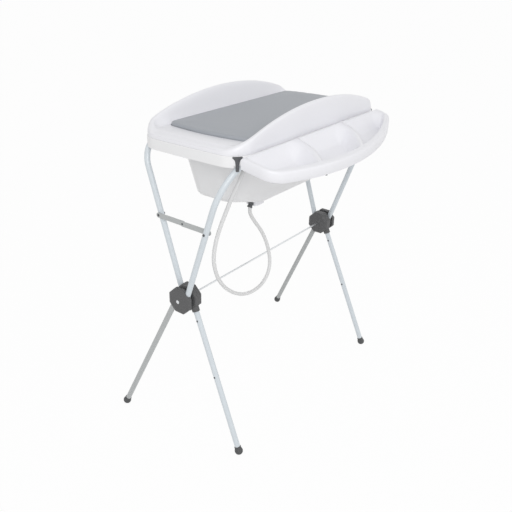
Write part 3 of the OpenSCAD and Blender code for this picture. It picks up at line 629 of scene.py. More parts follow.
def point_object(name, spots):
    """An object of loose points, each with its aim."""
    mesh = bpy.data.meshes.new(name)
    mesh.from_pydata([tuple(place) for place, _ in spots], [], [])
    aim = mesh.attributes.new("aim", "FLOAT_VECTOR", "POINT")
    aim.data.foreach_set("vector", [c for _, direction in spots for c in direction])
    return link_object(name, mesh)


# ---- Stage ----

WHITE = (1, 1, 1, 1)
FLOOR_GREY = (0.85, 0.85, 0.85, 1)
FLOOR_HALF = 30
WORLD_STRENGTH = 0.61
# How much of the floor reads as white; the rest keeps the object's shadow
FLOOR_WHITE = 0.96
# The lamps: name, place, size and watts, all aimed at the bath
LAMPS = [("key", (-2.6, -1.9, 2.6), 1.8, 46), ("fill", (1.2, -2.8, 2.2), 2.5, 12)]
LAMP_TARGET = Vector((0, CENTRE_Y, 0.7))
CAMERA_TURN, CAMERA_RISE, CAMERA_ROLL = (math.radians(a) for a in (-50.08, 26.46, 0.10))
CAMERA_TARGET = Vector((-0.239, CENTRE_Y, 0.570))
CAMERA_DISTANCE = 1.9698
CAMERA_LENS = {"sensor_width": 36, "lens": 42.87, "shift_x": 0.0724, "shift_y": 0.0045}


def seen_mix(tree, plain, shown, share):
    """A shader that shows one surface to the camera, gloss and clear pieces, another to light."""
    path = add(tree, "ShaderNodeLightPath").outputs
    seen = maths(tree, "MAXIMUM", path["Is Camera Ray"], path["Is Glossy Ray"])
    seen = maths(tree, "MAXIMUM", seen, path["Is Transmission Ray"])
    weight = maths(tree, "MULTIPLY", seen, share)
    return add(tree, "ShaderNodeMixShader", {"Fac": weight, 1: plain, 2: shown}).outputs[0]


def make_world():
    """Even pale light, with a white surround for the camera."""
    world = bpy.data.worlds.new("Studio")
    tree = emptied_nodes(world)
    light, white = (
        add(tree, "ShaderNodeBackground", {"Color": WHITE, "Strength": strength}).outputs[0]
        for strength in (WORLD_STRENGTH, 1)
    )
    add(tree, "ShaderNodeOutputWorld", {"Surface": seen_mix(tree, light, white, 1)})
    bpy.context.scene.world = world


def make_floor():
    """A wide pale floor that reads as white and keeps a soft shadow."""
    bm = bmesh.new()
    bmesh.ops.create_grid(bm, x_segments=1, y_segments=1, size=FLOOR_HALF)
    floor = mesh_object("floor", bm)
    made = bpy.data.materials.new("Floor")
    tree = emptied_nodes(made)
    matt = add(tree, "ShaderNodeBsdfDiffuse", {"Color": FLOOR_GREY}).outputs[0]
    white = add(tree, "ShaderNodeEmission", {"Color": WHITE}).outputs[0]
    add(tree, "ShaderNodeOutputMaterial", {"Surface": seen_mix(tree, matt, white, FLOOR_WHITE)})
    dress(floor, made)


def make_lamp(name, place, size, watts):
    """A soft square lamp aimed at the bath."""
    lamp = bpy.data.lights.new(name, "AREA")
    lamp.size = size
    lamp.energy = watts
    holder = link_object(name, lamp)
    holder.location = place
    aim = LAMP_TARGET - Vector(place)
    holder.rotation_euler = aim.to_track_quat("-Z", "Y").to_euler()


def make_camera():
    """The camera, turned and raised as seen from the front near corner."""
    level = math.cos(CAMERA_RISE)
    away = Vector((math.sin(CAMERA_TURN) * level, -math.cos(CAMERA_TURN) * level,
                   math.sin(CAMERA_RISE)))
    camera = bpy.data.cameras.new("camera")
    for key, value in CAMERA_LENS.items():
        setattr(camera, key, value)
    holder = link_object("camera", camera)
    holder.location = CAMERA_TARGET + away * CAMERA_DISTANCE
    look = (-away).to_track_quat("-Z", "Y").to_matrix()
    holder.rotation_euler = (look @ Euler((0, 0, CAMERA_ROLL)).to_matrix()).to_euler()
    bpy.context.scene.camera = holder


class BATHTABLE_OT_stage(bpy.types.Operator):
    """Makes the camera, the lamps, the world and the floor."""

    bl_idname = "bathtable.stage"
    bl_label = "Stage"

    def execute(self, context):
        make_camera()
        make_world()
        make_floor()
        for lamp in LAMPS:
            make_lamp(*lamp)
        context.scene.view_settings.view_transform = "Standard"
        return {"FINISHED"}


# ---- Drain hose ----

# The hose's route about the middle plane, from the elbow round its slack loop to the clip
HOSE_ROUTE = [
    (-0.146, -0.050, 0.735), (-0.146, -0.050, 0.726), (-0.145, -0.050, 0.714),
    (-0.138, -0.050, 0.700), (-0.117, -0.050, 0.672), (-0.089, -0.053, 0.636),
    (-0.066, -0.056, 0.597), (-0.050, -0.059, 0.556), (-0.042, -0.062, 0.516),
    (-0.046, -0.065, 0.484), (-0.066, -0.069, 0.459), (-0.101, -0.073, 0.442),
    (-0.155, -0.078, 0.441), (-0.214, -0.083, 0.457), (-0.272, -0.088, 0.490),
    (-0.322, -0.092, 0.533), (-0.356, -0.096, 0.577), (-0.376, -0.099, 0.621),
    (-0.384, -0.102, 0.661), (-0.381, -0.105, 0.699), (-0.371, -0.108, 0.735),
    (-0.358, -0.112, 0.768), (-0.346, -0.117, 0.798), (-0.336, -0.123, 0.827),
    (-0.327, -0.131, 0.856), (-0.319, -0.139, 0.882), (-0.314, -0.145, 0.902),
    (-0.312, -0.148, 0.916), (-0.312, -0.148, 0.930),
]
HOSE_DIAMETER = 0.012
HOSE_STEPS = 5


def along_curve(points, steps):
    """Points of a smooth curve through the chosen ones."""
    last = len(points) - 1
    found = []
    for i in range(last):
        a, b, c, d = (points[min(max(j, 0), last)] for j in range(i - 1, i + 3))
        for step in range(steps):
            t = step / steps
            found.append(0.5 * (2 * b + (c - a) * t + (2 * a - 5 * b + 4 * c - d) * t * t
                                + (3 * b - a - 3 * c + d) * t * t * t))
    return found + [points[last]]


class BATHTABLE_OT_hose(bpy.types.Operator):
    """Makes the drain hose, from its elbow round a slack loop up to its clip."""

    bl_idname = "bathtable.hose"
    bl_label = "Drain hose"

    def execute(self, context):
        route = [Vector(p) + Vector((0, CENTRE_Y, 0)) for p in HOSE_ROUTE]
        line = along_curve(route, HOSE_STEPS)
        curve = bpy.data.curves.new("hose", "CURVE")
        curve.dimensions = "3D"
        curve.bevel_depth = HOSE_DIAMETER / 2
        curve.bevel_resolution = 6
        curve.use_fill_caps = True
        spline = curve.splines.new("POLY")
        spline.points.add(len(line) - 1)
        for spot, place in zip(spline.points, line):
            spot.co = (*place, 1)
        hose = link_object("hose", curve)
        hand_over(hose, "bath", "clear_pvc", "hose", "drain_hose")
        return {"FINISHED"}


# ---- Stand ----


def upper_tube(side, bend):
    """One bent tube of the stand: two sides and the rail under the bath's rim."""
    sizes = settings().stand
    high = TUBE_HIGH[side]
    plane = high.x - sizes.tube_r
    rail_z = high.z - sizes.tube_r - sizes.rail_drop
    lean, offset = sizes.tube_tilt, sizes.socket_offset

    def spot(x, run):
        across = side * (offset * math.cos(lean) + run * math.sin(lean))
        return (x, CENTRE_Y + across, HUB_Z - offset * math.sin(lean) + run * math.cos(lean))

    name = SIDE_NAMES[side] + "_upper_tube"
    rail = (rail_z - HUB_Z + offset * math.sin(lean)) / math.cos(lean)
    path = path_object(name + "_finish", [
        spot(-plane, -sizes.socket_depth), spot(-plane, rail),
        spot(plane, rail), spot(plane, -sizes.socket_depth)])
    run_tree(path, tube_tree(), radius=sizes.tube_r, bend=bend, material=finish("enamel"))
    hand_over(path, SIDE_NAMES[side] + "_frame", "stand_tube", "enamel", name)


class BATHTABLE_OT_tubes(bpy.types.Operator):
    """Makes the two bent upper tubes and finishes the legs and the brace."""

    bl_idname = "bathtable.tubes"
    bl_label = "Tubes and legs"

    def execute(self, context):
        sizes = settings().stand
        upper_tube(FRONT, sizes.front_bend_r)
        upper_tube(BACK, sizes.back_bend_r)
        dress_nodes("enamel", "front_leg_near", "front_leg_far")
        # The back legs and the brace take the darker enamel, which is painted shade
        dress_nodes("leg_enamel", "back_leg_near", "back_leg_far", "brace_bar_front",
                    "brace_bar_back")
        return {"FINISHED"}


def leg_spot(side, end, run):
    """A point on a leg's axis, some way below its hub. A leg carries on the other side's tube."""
    sizes = settings().stand
    tilt, splay = ((sizes.back_tilt, sizes.back_splay) if side == BACK
                   else (sizes.front_tilt, sizes.front_splay))
    plane, offset = TUBE_HIGH[-side].x - sizes.tube_r, sizes.socket_offset
    down = run * math.cos(splay)
    return Vector((end * (plane + run * math.sin(splay)),
                   CENTRE_Y + side * (offset * math.cos(tilt) + down * math.sin(tilt)),
                   HUB_Z + offset * math.sin(tilt) - down * math.cos(tilt)))


# Profiles of the hub halves: shares of the half's thickness from its open face, and of its radius
HUB_PROFILES = {
    "outer": [(0.0, 0.76), (0.02, 0.79), (0.15, 0.985), (0.19, 1.0), (0.54, 1.0), (0.58, 0.96),
              (0.60, 0.92), (0.60, 0.60), (1.0, 0.60)],
    "inner": [(0.0, 0.84), (0.03, 0.88), (0.12, 0.98), (0.16, 1.0), (0.84, 1.0), (0.90, 0.97),
              (0.93, 0.90), (0.93, 0.60), (1.0, 0.60)],
}
HUB_BODIES = {"outer": "front_frame", "inner": "back_frame"}
HUB_SIDES = 8
SLEEVE_START = 0.030
SLEEVE_WALL = 0.0032


class BATHTABLE_OT_hubs(bpy.types.Operator):
    """Makes the hub halves and leg sleeves, and finishes the tie rod, its nuts and the screws."""

    bl_idname = "bathtable.hubs"
    bl_label = "Hubs and tie rod"

    def execute(self, context):
        sizes = settings().stand
        for end, place in END_NAMES.items():
            for half in HUB_PROFILES:
                self.half(half, end, f"hub_{half}_{place}")
            sleeve = bmesh.new()
            add_cylinder(sleeve, leg_spot(FRONT, end, SLEEVE_START),
                         leg_spot(FRONT, end, sizes.sleeve_end), sizes.tube_r + SLEEVE_WALL)
            piece = mesh_object("hub_sleeve_" + place, sleeve)
            hand_over(piece, "back_frame", "hub_plastic", "hub")
        dress_nodes("steel", "tie_rod", "rod_nuts", "hub_washers")
        dress_nodes("rivet", "hub_screws_outer", "hub_screws_inner")
        return {"FINISHED"}

    def half(self, half, end, name):
        """An eight-sided hub half with chamfered edges, from its open face to its partner's."""
        radius = settings().stand.hub_r
        open_x, joint_x = (corner.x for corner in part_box(name))
        if (half == "inner") == (end == NEAR):
            open_x, joint_x = joint_x, open_x
        steps = [(between(open_x, joint_x, share), radius * part)
                 for share, part in HUB_PROFILES[half]]
        bm = turned_along_x(steps, CENTRE_Y, HUB_Z, HUB_SIDES, math.pi / HUB_SIDES)
        piece = mesh_object(name + "_half", bm, sharp=20)
        hand_over(piece, HUB_BODIES[half], "hub_plastic", "hub", name)


# Half widths down a bracket: its head under the top's lip, its shoulders and its thin stem,
# whose last steps are counted from its foot
BRACKET_PROFILE = [(0.0, 0.0130), (0.0025, 0.0135), (0.0045, 0.0125), (0.0070, 0.0095),
                   (0.0100, 0.0072), (0.0150, 0.0058), (0.0220, 0.0050)]
BRACKET_FOOT = [(0.002, 0.0044), (0.0, 0.0030)]
# How far a bracket stands below the top, its middle and its back stand out from the rim's face,
# and its long edges lie back from its middle
BRACKET_TOP_GAP, BRACKET_FACE, BRACKET_BACK, BRACKET_CROWN = 0.0008, 0.0024, -0.0006, 0.0008
BRACKET_COLUMNS = [i / 4 - 1 for i in range(9)]
# The brackets: rim end, side, degrees from the corner's middle, and height
BRACKETS = [(NEAR, FRONT, 0, 0.041), (FAR, FRONT, 0, 0.052), (NEAR, BACK, 32, 0.032),
            (FAR, BACK, 0, 0.040)]
# A foot's ball, from its pole round to its cuff, and the cuff: places above its centre and radii
BALL_TURNS = [math.radians(8 + 13 * i) for i in range(10)]
CUFF_PROFILE = [(0.0098, 0.0108), (0.0150, 0.0108), (0.0158, 0.0100), (0.0158, 0.0080)]


def rim_corner_r(end):
    """The corner radius of one end of the rim."""
    bath = settings().bath
    return bath.near_rim_r if end == NEAR else bath.rim_r


def corner_spot(end, side, turn, out):
    """A point beside a rim corner, some degrees round from the end and out from its face."""
    bath = settings().bath
    r = rim_corner_r(end)
    turn = math.radians(turn)
    y = bath.rim_w / 2 - r + (r + out) * math.sin(turn)
    x = bath.rim_l / 2 - r + (r + out) * math.cos(turn)
    if end == NEAR:
        x -= bow_pull(x, y)
    return end * x, CENTRE_Y + side * y


def bracket(end, side, shift, drop):
    """A slim T-shaped bracket that follows a rim corner down to its tube."""
    top = TOP_FOOT_Z - BRACKET_TOP_GAP
    loops = []
    for down, half in [*BRACKET_PROFILE, *((drop - up, half) for up, half in BRACKET_FOOT)]:
        turns = [45 + shift + math.degrees(half * c / rim_corner_r(end))
                 for c in BRACKET_COLUMNS]
        face = [corner_spot(end, side, turn, BRACKET_FACE - BRACKET_CROWN * c * c)
                for turn, c in zip(turns, BRACKET_COLUMNS)]
        face += [corner_spot(end, side, turn, BRACKET_BACK) for turn in reversed(turns)]
        loops.append([Vector((*spot, top - down)) for spot in face])
    name = f"bracket_{SIDE_NAMES[side]}_{END_NAMES[end]}"
    piece = mesh_object(name + "_plate", loft(loops), sharp=40)
    hand_over(piece, SIDE_NAMES[side] + "_frame", "bracket_plastic", "bracket", name)


def foot(end, side):
    """A round rubber foot with a short cuff, resting on the floor at the end of its leg."""
    r = settings().stand.foot_r
    top, below = leg_spot(side, end, 0), leg_spot(side, end, 1)
    run = (top.z - r) / (top.z - below.z)
    ball = [(-r * math.cos(a), r * math.sin(a)) for a in BALL_TURNS]
    bm = turned_along_x(ball + CUFF_PROFILE, 0, 0, sides=28)
    up = (top - below).to_track_quat("X", "Y").to_matrix().to_4x4()
    bm.transform(Matrix.Translation(leg_spot(side, end, run)) @ up)
    name = f"{SIDE_NAMES[side]}_foot_{END_NAMES[end]}"
    piece = mesh_object(name + "_cap", bm, sharp=40)
    hand_over(piece, SIDE_NAMES[-side] + "_frame", "foot_rubber", "foot", name)


class BATHTABLE_OT_feet(bpy.types.Operator):
    """Makes the rubber feet and the corner brackets."""

    bl_idname = "bathtable.feet"
    bl_label = "Feet and brackets"

    def execute(self, context):
        for end in ENDS:
            foot(end, BACK)
            foot(end, FRONT)
        for place in BRACKETS:
            bracket(*place)
        return {"FINISHED"}


RIVET_H = 0.0014
# A pin's domed head: places from its face and shares of its radius; then its shank's share
PIN_DOME = [(0.0, 0.1), (0.0004, 0.45), (0.0010, 0.78), (0.0017, 0.96), (0.0024, 1.0)]
PIN_SHANK = 0.6


def rivets(name, body, look, side, runs):
    """Domed rivet heads on both sides of a pair of legs."""
    sizes = settings().stand
    spots = []
    for end in ENDS:
        for run in runs:
            centre = leg_spot(side, end, run)
            spots += [(centre + Vector((out * sizes.tube_r, 0, 0)), (out, 0, 0)) for out in ENDS]
    heads = point_object(name + "_heads", spots)
    run_tree(heads, heads_tree(), radius=sizes.rivet_r, height=RIVET_H, material=finish(look))
    hand_over(heads, body, "zinc_steel", look, name)


def pin(name, body, head_r):
    """A bolt along X with a domed head and a domed nut, between the ends of its CAD node."""
    low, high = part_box(name)
    middle = (low + high) / 2
    dome = [(step, head_r * share) for step, share in PIN_DOME]
    dome.append((PIN_DOME[-1][0], head_r * PIN_SHANK))
    profile = [(low.x + step, r) for step, r in dome]
    profile += [(high.x - step, r) for step, r in reversed(dome)]
    bm = turned_along_x(profile, middle.y, middle.z, sides=24)
    piece = mesh_object(name + "_turned", bm, sharp=50)
    hand_over(piece, body, "zinc_steel", "rivet", name)


class BATHTABLE_OT_fasteners(bpy.types.Operator):
    """Makes the rivets of the legs and the brace's bolts, and finishes its middle pivot."""

    bl_idname = "bathtable.fasteners"
    bl_label = "Rivets and bolts"

    def execute(self, context):
        sizes = settings().stand
        # The back legs' rivets take the darker enamel, painted shade like their legs
        rivets("rivets_back_legs", "front_frame", "leg_enamel", BACK, [sizes.rivet_top])
        rivets("rivets_front_legs", "back_frame", "rivet", FRONT,
               [sizes.rivet_top, sizes.rivet_mid])
        pin("brace_bolt_front", "front_frame", sizes.bolt_r)
        pin("brace_bolt_back", "back_frame", sizes.bolt_r)
        pin("brace_stud", "brace_front", sizes.rivet_r)
        dress_nodes("rivet", "brace_cap")
        return {"FINISHED"}


# ---- Bath ----

BODY_STEPS = 26
BOTTOM_EDGE_STEPS = 6
RIM_EDGE_STEPS = 5
# Where the near end's bow begins and how long it takes, as shares of half the rim's length
BOW_START, BOW_FADE = 0.5, 0.4
# The hinges: how far along the rim they sit, their barrels' radius, and the width of the top's
# knuckle and of the bath's ears, which begin a little past it
HINGE_X = 0.220
BARREL_R = 0.0055
KNUCKLE_W = 0.030
EAR_W = 0.009
EAR_START = 0.0155
# Their blocks' lower and upper corners, out from the rim's edge and up from the axis
EAR_BLOCK = ((-0.001, -0.016), (0.007, -0.002))
KNUCKLE_BLOCK = ((-0.002, 0), (0.004, 0.010))
# The notches in the skirt's near corners: degrees round the corner, half sizes and height
NOTCH_TURN, NOTCH_X, NOTCH_Y, NOTCH_H = 52, 0.014, 0.018, 0.007
DRAIN_HOLE_R = 0.012


def body_outline(depth, inset):
    """The bath body's outline at a depth below the rim, drawn in by a wall's thickness."""
    bath = settings().bath
    share = depth / bath.body_h
    far = between(bath.body_far, bath.floor_far, share)
    far_w = between(bath.body_w, bath.floor_w, share)
    far_r = between(bath.far_r, bath.floor_r, share)
    if depth <= bath.foot_h:
        part = depth / bath.foot_h
        near = between(bath.body_near, bath.foot_near, part)
        near_w = between(bath.body_w, bath.foot_w, part)
        near_r = between(bath.near_r, bath.floor_r, part)
    else:
        part = (depth - bath.foot_h) / (bath.body_h - bath.foot_h)
        near = between(bath.foot_near, bath.floor_near, part)
        near_w = between(bath.foot_w, bath.floor_w, part)
        near_r = bath.floor_r
    return round_outline(-near + inset, far - inset, near_w - 2 * inset, far_w - 2 * inset,
                         near_r - inset, far_r - inset)


def body_loops(rim_under, inset, floor_up):
    """Loops down the body, from the rim to the rounded edge of its bottom."""
    bath = settings().bath
    bottom = bath.body_h - floor_up
    radius = bath.bottom_r
    depths = [bottom * i / BODY_STEPS for i in range(BODY_STEPS + 1)]
    steps = [(depth, inset) for depth in depths if depth < bottom - radius]
    for i in range(BOTTOM_EDGE_STEPS + 1):
        turn = math.radians(90 * i / BOTTOM_EDGE_STEPS)
        steps.append((bottom - radius + radius * math.sin(turn),
                      inset + radius * (1 - math.cos(turn))))
    return [at_height(body_outline(depth, inward), rim_under - depth) for depth, inward in steps]


def bow_pull(reach, y):
    """How far the near end lies back from its furthest point, at a place near the rim's edge."""
    bath = settings().bath
    weight = smooth((2 * reach / bath.rim_l - BOW_START) / BOW_FADE)
    return bath.rim_bow * (2 * y / bath.rim_w) ** 2 * weight


def rim_outline(inset):
    """The rim's outline, drawn in, its near end bowed and rounder."""
    bath = settings().bath
    width = bath.rim_w - 2 * inset
    half = bath.rim_l / 2 - inset
    points = round_outline(-half, half, width, width, bath.near_rim_r - inset, bath.rim_r - inset)
    for p in points:
        p.x += bow_pull(-p.x, p.y)
    return points


def hinge_knuckle(bm, x, span, low, high):
    """A hinge's barrel and its block, whose corners are out from the rim and up from the axis."""
    edge = CENTRE_Y + settings().bath.rim_w / 2
    left, right = x - span / 2, x + span / 2
    add_cylinder(bm, (left, HINGE_Y, HINGE_Z), (right, HINGE_Y, HINGE_Z), BARREL_R)
    add_box(bm, (left, edge + low[0], HINGE_Z + low[1]), (right, edge + high[0], HINGE_Z + high[1]))


class BATHTABLE_OT_bath(bpy.types.Operator):
    """Makes the bath: one shell with a body, a rim and a skirt, and the ears of its hinges."""

    bl_idname = "bathtable.bath"
    bl_label = "Bath"

    def execute(self, context):
        bath = settings().bath
        wall, rim_z = bath.wall, TOP_FOOT_Z - HAIR
        rim_under, skirt_z = rim_z - wall, rim_z - bath.skirt_h
        rim = [(wall, rim_under), (wall, skirt_z + SOFT_STEP), (wall - SOFT_STEP, skirt_z),
               (SOFT_STEP, skirt_z), (0, skirt_z + SOFT_STEP)]
        rim += [(inset, rim_z - drop) for inset, drop in round_edge(bath.edge_r, RIM_EDGE_STEPS)]
        loops = body_loops(rim_under, 0, 0)[::-1]
        loops += [at_height(rim_outline(inset), z) for inset, z in rim]
        loops.append(at_height(body_outline(0, wall - SOFT_STEP), rim_z))
        loops += body_loops(rim_under, wall, wall)
        shell = mesh_object("bath_shell", loft(loops))
        self.cut_away(shell, skirt_z)
        ears = bmesh.new()
        for sx in ENDS:
            for side in ENDS:
                hinge_knuckle(ears, sx * HINGE_X + side * (EAR_START + EAR_W / 2), EAR_W,
                              *EAR_BLOCK)
        hand_over(mesh_object("bath_hinge_ears", ears), "bath", "bath_plastic", "bath")
        hand_over(shell, "bath", "bath_plastic", "bath", "bath_tub")
        return {"FINISHED"}

    def cut_away(self, shell, skirt_z):
        """Cuts the skirt's near corners, where the tubes pass, and the drain out of the shell."""
        shapes = bmesh.new()
        for side in SIDES:
            place = Vector((*corner_spot(NEAR, side, NOTCH_TURN, 0), 0))
            turn = Matrix.Rotation(math.atan2(side, NEAR), 4, "Z")
            add_box(shapes, (-NOTCH_X, -NOTCH_Y, skirt_z - SOFT_STEP),
                    (NOTCH_X, NOTCH_Y, skirt_z + NOTCH_H), Matrix.Translation(place) @ turn)
        low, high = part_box("drain_seal")
        middle = (low + high) / 2
        add_cylinder(shapes, (middle.x, middle.y, low.z),
                     (middle.x, middle.y, high.z + DRAIN_HOLE_R), DRAIN_HOLE_R)
        cutter = mesh_object("cutter", shapes)
        modified(shell, "BOOLEAN", object=cutter, operation="DIFFERENCE", solver="EXACT")
        bpy.data.objects.remove(cutter)
        shell.data.set_sharp_from_angle(angle=math.radians(SHARP))


# The elbow: radii of its stub and cuffs, the share of the way to its middle that a cuff takes,
# the width of its soft edges, and how far its axis stays inside its CAD node's box
STUB_R, CUFF_R, CUFF_REACH, STUB_BEVEL = 0.0070, 0.0086, 0.75, 0.0016
STUB_LOW_INSET = Vector((0.0068, 0, 0.0060))
STUB_HIGH_INSET = Vector((0.0030, 0, 0.0056))


class BATHTABLE_OT_drain(bpy.types.Operator):
    """Makes the drain's elbow, and finishes its well, seal and plug, the clip, pegs and pins."""

    bl_idname = "bathtable.drain"
    bl_label = "Drain"

    def execute(self, context):
        dress_nodes("top", "drain_sump")
        dress_nodes("rubber", "drain_seal", "drain_plug")
        dress_nodes("bracket", "hose_clip", "tray_pegs")
        self.elbow()
        dress_nodes("steel", "plug_ring", "changer_hinge_pins")
        return {"FINISHED"}

    def elbow(self):
        """The slanted stub between the drain well and the hose, with a cuff at each end."""
        low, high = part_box("hose_connector")
        low.y = high.y = (low.y + high.y) / 2
        ends = low + STUB_LOW_INSET, high - STUB_HIGH_INSET
        stub = bmesh.new()
        add_cylinder(stub, *ends, STUB_R)
        for place in ends:
            add_cylinder(stub, place.lerp(ends[0].lerp(ends[1], 0.5), CUFF_REACH), place, CUFF_R)
        piece = modified(mesh_object("drain_elbow", stub), "BEVEL", width=STUB_BEVEL, segments=3)
        hand_over(piece, "bath", "bracket_plastic", "bracket", "hose_connector")


# ---- Changing top ----

# Steps of the top's edge from its foot to the deck: inset and height where there is no wing, then
# the inset where the wing is highest and the share of the wing's height that the step takes
EDGE_STEPS = [
    (0.0026, 0.0000, 0.0020, 0.00), (0.0026, 0.0006, 0.0014, 0.00), (0.0026, 0.0045, 0.0010, 0.25),
    (0.0034, 0.0078, 0.0008, 0.60), (0.0054, 0.0106, 0.0010, 0.85), (0.0082, 0.0127, 0.0018, 0.94),
    (0.0116, 0.0141, 0.0038, 0.982), (0.0150, 0.0149, 0.0070, 1.00),
    (0.0182, 0.0153, 0.0102, 0.982), (0.0212, 0.0158, 0.0125, 0.93),
    (0.0238, 0.0168, 0.0145, 0.80), (0.0262, 0.0182, 0.0168, 0.60), (0.0290, 0.0192, 0.0195, 0.38),
    (0.0325, 0.0197, 0.0222, 0.20), (0.0360, 0.0199, 0.0250, 0.08), (0.0400, 0.0200, 0.0285, 0.00),
]
# How far before their reach the wings begin to fall to the lip, the share of their height at
# which an edge is all wing, and how much sooner the lip then rises
WING_FADE, WING_BLEND, LIP_RISE = 0.07, 0.5, 1.2
# Steps down the rounded edge of the mat's recess: how far out from it and how deep
RECESS_EDGE = [(0.003, 0), (0.0008, 0.0004), (0, 0.0016)]


def wing_height(x):
    """How far the side wings stand above the lip at a place along the top."""
    changer = settings().changer
    share = max(1 - (x / changer.wing_reach) ** 2, 0.0)
    fade = smooth((changer.wing_reach - x) / WING_FADE)
    return changer.wing_h * share ** changer.wing_fall * fade


class BATHTABLE_OT_changer(bpy.types.Operator):
    """Makes the changing top: a lip, arched wings, a deck with a recess, and its knuckles."""

    bl_idname = "bathtable.changer"
    bl_label = "Changing top"

    def execute(self, context):
        changer = settings().changer
        low = TOP_FOOT_Z
        deck = low + changer.lip_h + changer.deck_h
        loops = [at_height(rim_outline(changer.wall), z)
                 for z in (low + changer.lip_h - changer.wall, low)]
        tops = [wing_height(p.x) for p in rim_outline(0)]
        loops += [self.edge_loop(tops, *step) for step in EDGE_STEPS]
        seat = changer.mat_seat
        recess = [*RECESS_EDGE, (0, seat - SOFT_STEP), (-SOFT_STEP, seat)]
        loops += [at_height(mat_outline(-changer.mat_gap - grow), deck - drop)
                  for grow, drop in recess]
        top = mesh_object("changing_top", loft(loops), sharp=50)
        bm = bmesh.new()
        for sx in ENDS:
            hinge_knuckle(bm, sx * HINGE_X, KNUCKLE_W, *KNUCKLE_BLOCK)
        hand_over(mesh_object("changer_knuckles", bm), "changer", "white_plastic", "top")
        hand_over(top, "changer", "white_plastic", "top", "changer_top")
        return {"FINISHED"}

    def edge_loop(self, tops, plain_in, plain_up, wing_in, share):
        """One loop of the edge, blending the plain lip into the wings."""
        full, lip = settings().changer.wing_h, settings().changer.lip_h
        points = []
        for p, q, height in zip(rim_outline(plain_in), rim_outline(wing_in), tops):
            weight = smooth(height / (WING_BLEND * full))
            flat = p.lerp(q, weight)
            wing_up = lip * min(1, plain_up / lip * LIP_RISE)
            up = plain_up * (1 - weight) + weight * wing_up + share * height
            points.append(Vector((flat.x, flat.y + CENTRE_Y, TOP_FOOT_Z + up)))
        return points


# ---- Mat ----

# Insets and heights up the mat's lower side, the radius of its upper edge, and insets over its top
MAT_FOOT = [(0.004, 0.0), (0.0008, 0.0015), (0.0, 0.004)]
MAT_EDGE_R = 0.0035
MAT_TOP = (0.012, 0.022, 0.035, 0.050, 0.070, 0.090, 0.110, 0.130, 0.150)
CROWN_REACH = 0.07
# Where the ends' bow begins and how long it takes, as shares of half the mat's length
MAT_BOW_START, MAT_BOW_FADE = 0.8, 0.2
MAT_VOXEL = 0.004
SWELL_PRESSURE = 1.5
SWELL_FRAMES = 15
SWELL_MOST = 0.0012


def mat_outline(inset):
    """The mat's outline, its ends bowed out between their corners."""
    changer = settings().changer
    width = MAT_HIGH.y - MAT_LOW.y - 2 * (inset + changer.mat_inset)
    corner = changer.mat_r - inset
    points = round_outline(MAT_LOW.x + inset, MAT_HIGH.x - inset, width, width, corner, corner)
    middle = (MAT_LOW.x + MAT_HIGH.x) / 2
    reach = (MAT_HIGH.x - MAT_LOW.x) / 2
    for p in points:
        weight = smooth((abs(p.x - middle) / reach - MAT_BOW_START) / MAT_BOW_FADE)
        pull = changer.mat_bow * (2 * p.y / width) ** 2 * weight
        p.x -= math.copysign(pull, p.x - middle)
    return points


def swell(piece):
    """Swells a closed pad like foam in a tight cover, with a cap on how far a point moves."""
    rest = piece.data
    cloth = piece.modifiers.new("Cloth", "CLOTH").settings
    cloth.use_pressure = True
    cloth.uniform_pressure_force = SWELL_PRESSURE
    cloth.effector_weights.gravity = 0
    cloth.quality = 5
    scene = bpy.context.scene
    for number in range(1, SWELL_FRAMES + 1):
        scene.frame_set(number)
    moved = plain_mesh(piece)
    scene.frame_set(1)
    for before, after in zip(rest.vertices, moved.vertices):
        step = after.co - before.co
        if step.length > SWELL_MOST:
            after.co = before.co + step * (SWELL_MOST / step.length)
    piece.data = moved


class BATHTABLE_OT_mat(bpy.types.Operator):
    """Makes the padded mat of the changing top."""

    bl_idname = "bathtable.mat"
    bl_label = "Mat"

    def execute(self, context):
        low, high = MAT_LOW.z, MAT_HIGH.z
        steps = [(inset, low + up) for inset, up in MAT_FOOT]
        steps.append((0, high - MAT_EDGE_R))
        steps += [(inset, high - drop) for inset, drop in round_edge(MAT_EDGE_R, steps=4, first=1)]
        crown = settings().changer.crown
        steps += [(inset, high + crown * smooth(inset / CROWN_REACH)) for inset in MAT_TOP]
        loops = [at_height(mat_outline(inset), z) for inset, z in steps]
        mat = mesh_object("mat_cover", loft(loops), sharp=60)
        self.pad(mat)
        hand_over(mat, "changer", "mat_cover", "mat", "changer_mat")
        return {"FINISHED"}

    def pad(self, mat):
        """Remeshes the mat and swells it, with nothing below its seat."""
        modified(mat, "REMESH", mode="VOXEL", voxel_size=MAT_VOXEL, use_smooth_shade=True)
        swell(mat)
        for vertex in mat.data.vertices:
            vertex.co.z = max(vertex.co.z, MAT_LOW.z)
        mat.data.shade_smooth()


# ---- Organiser tray ----

# Points along the tray's back and front edges, down an end, round a corner and in to the middle
BACK_STEPS, FRONT_STEPS = 120, 140
TRAY_END_STEPS, TRAY_ARC_STEPS = 10, 16
TRAY_RINGS = 48
TRAY_SHARP = 60
# Insets and drops up the tray's outer wall and over its edge; the wall's foot is added
TRAY_EDGE = [(0, 0.006), (0.0008, 0.003), (0.0024, 0.001), (0.005, 0)]
# The rings close on a middle line: how far it keeps from the ends, and the most of the tray's
# depth that it halves
MIDDLE_INSET, MIDDLE_MOST = 0.055, 0.164
# How soon the rings' insets turn from the back edge's way to the front edge's
INSET_TURN = 3
# How far out from the back the ridges' sweep is full, and where the back wall slopes
SWEEP_REACH = 0.136
BACK_FLANK, BACK_FLANK_START = 0.060, -0.008
# How much further in from the edge a point at an end counts than one at the front
END_EDGE = 0.02


def tray_front(x):
    """How far the tray's front edge lies from its back, at a place along it."""
    tray = settings().tray
    return TRAY_REACH - (tray.arc_r - math.sqrt(tray.arc_r ** 2 - (x - tray.arc_x) ** 2))


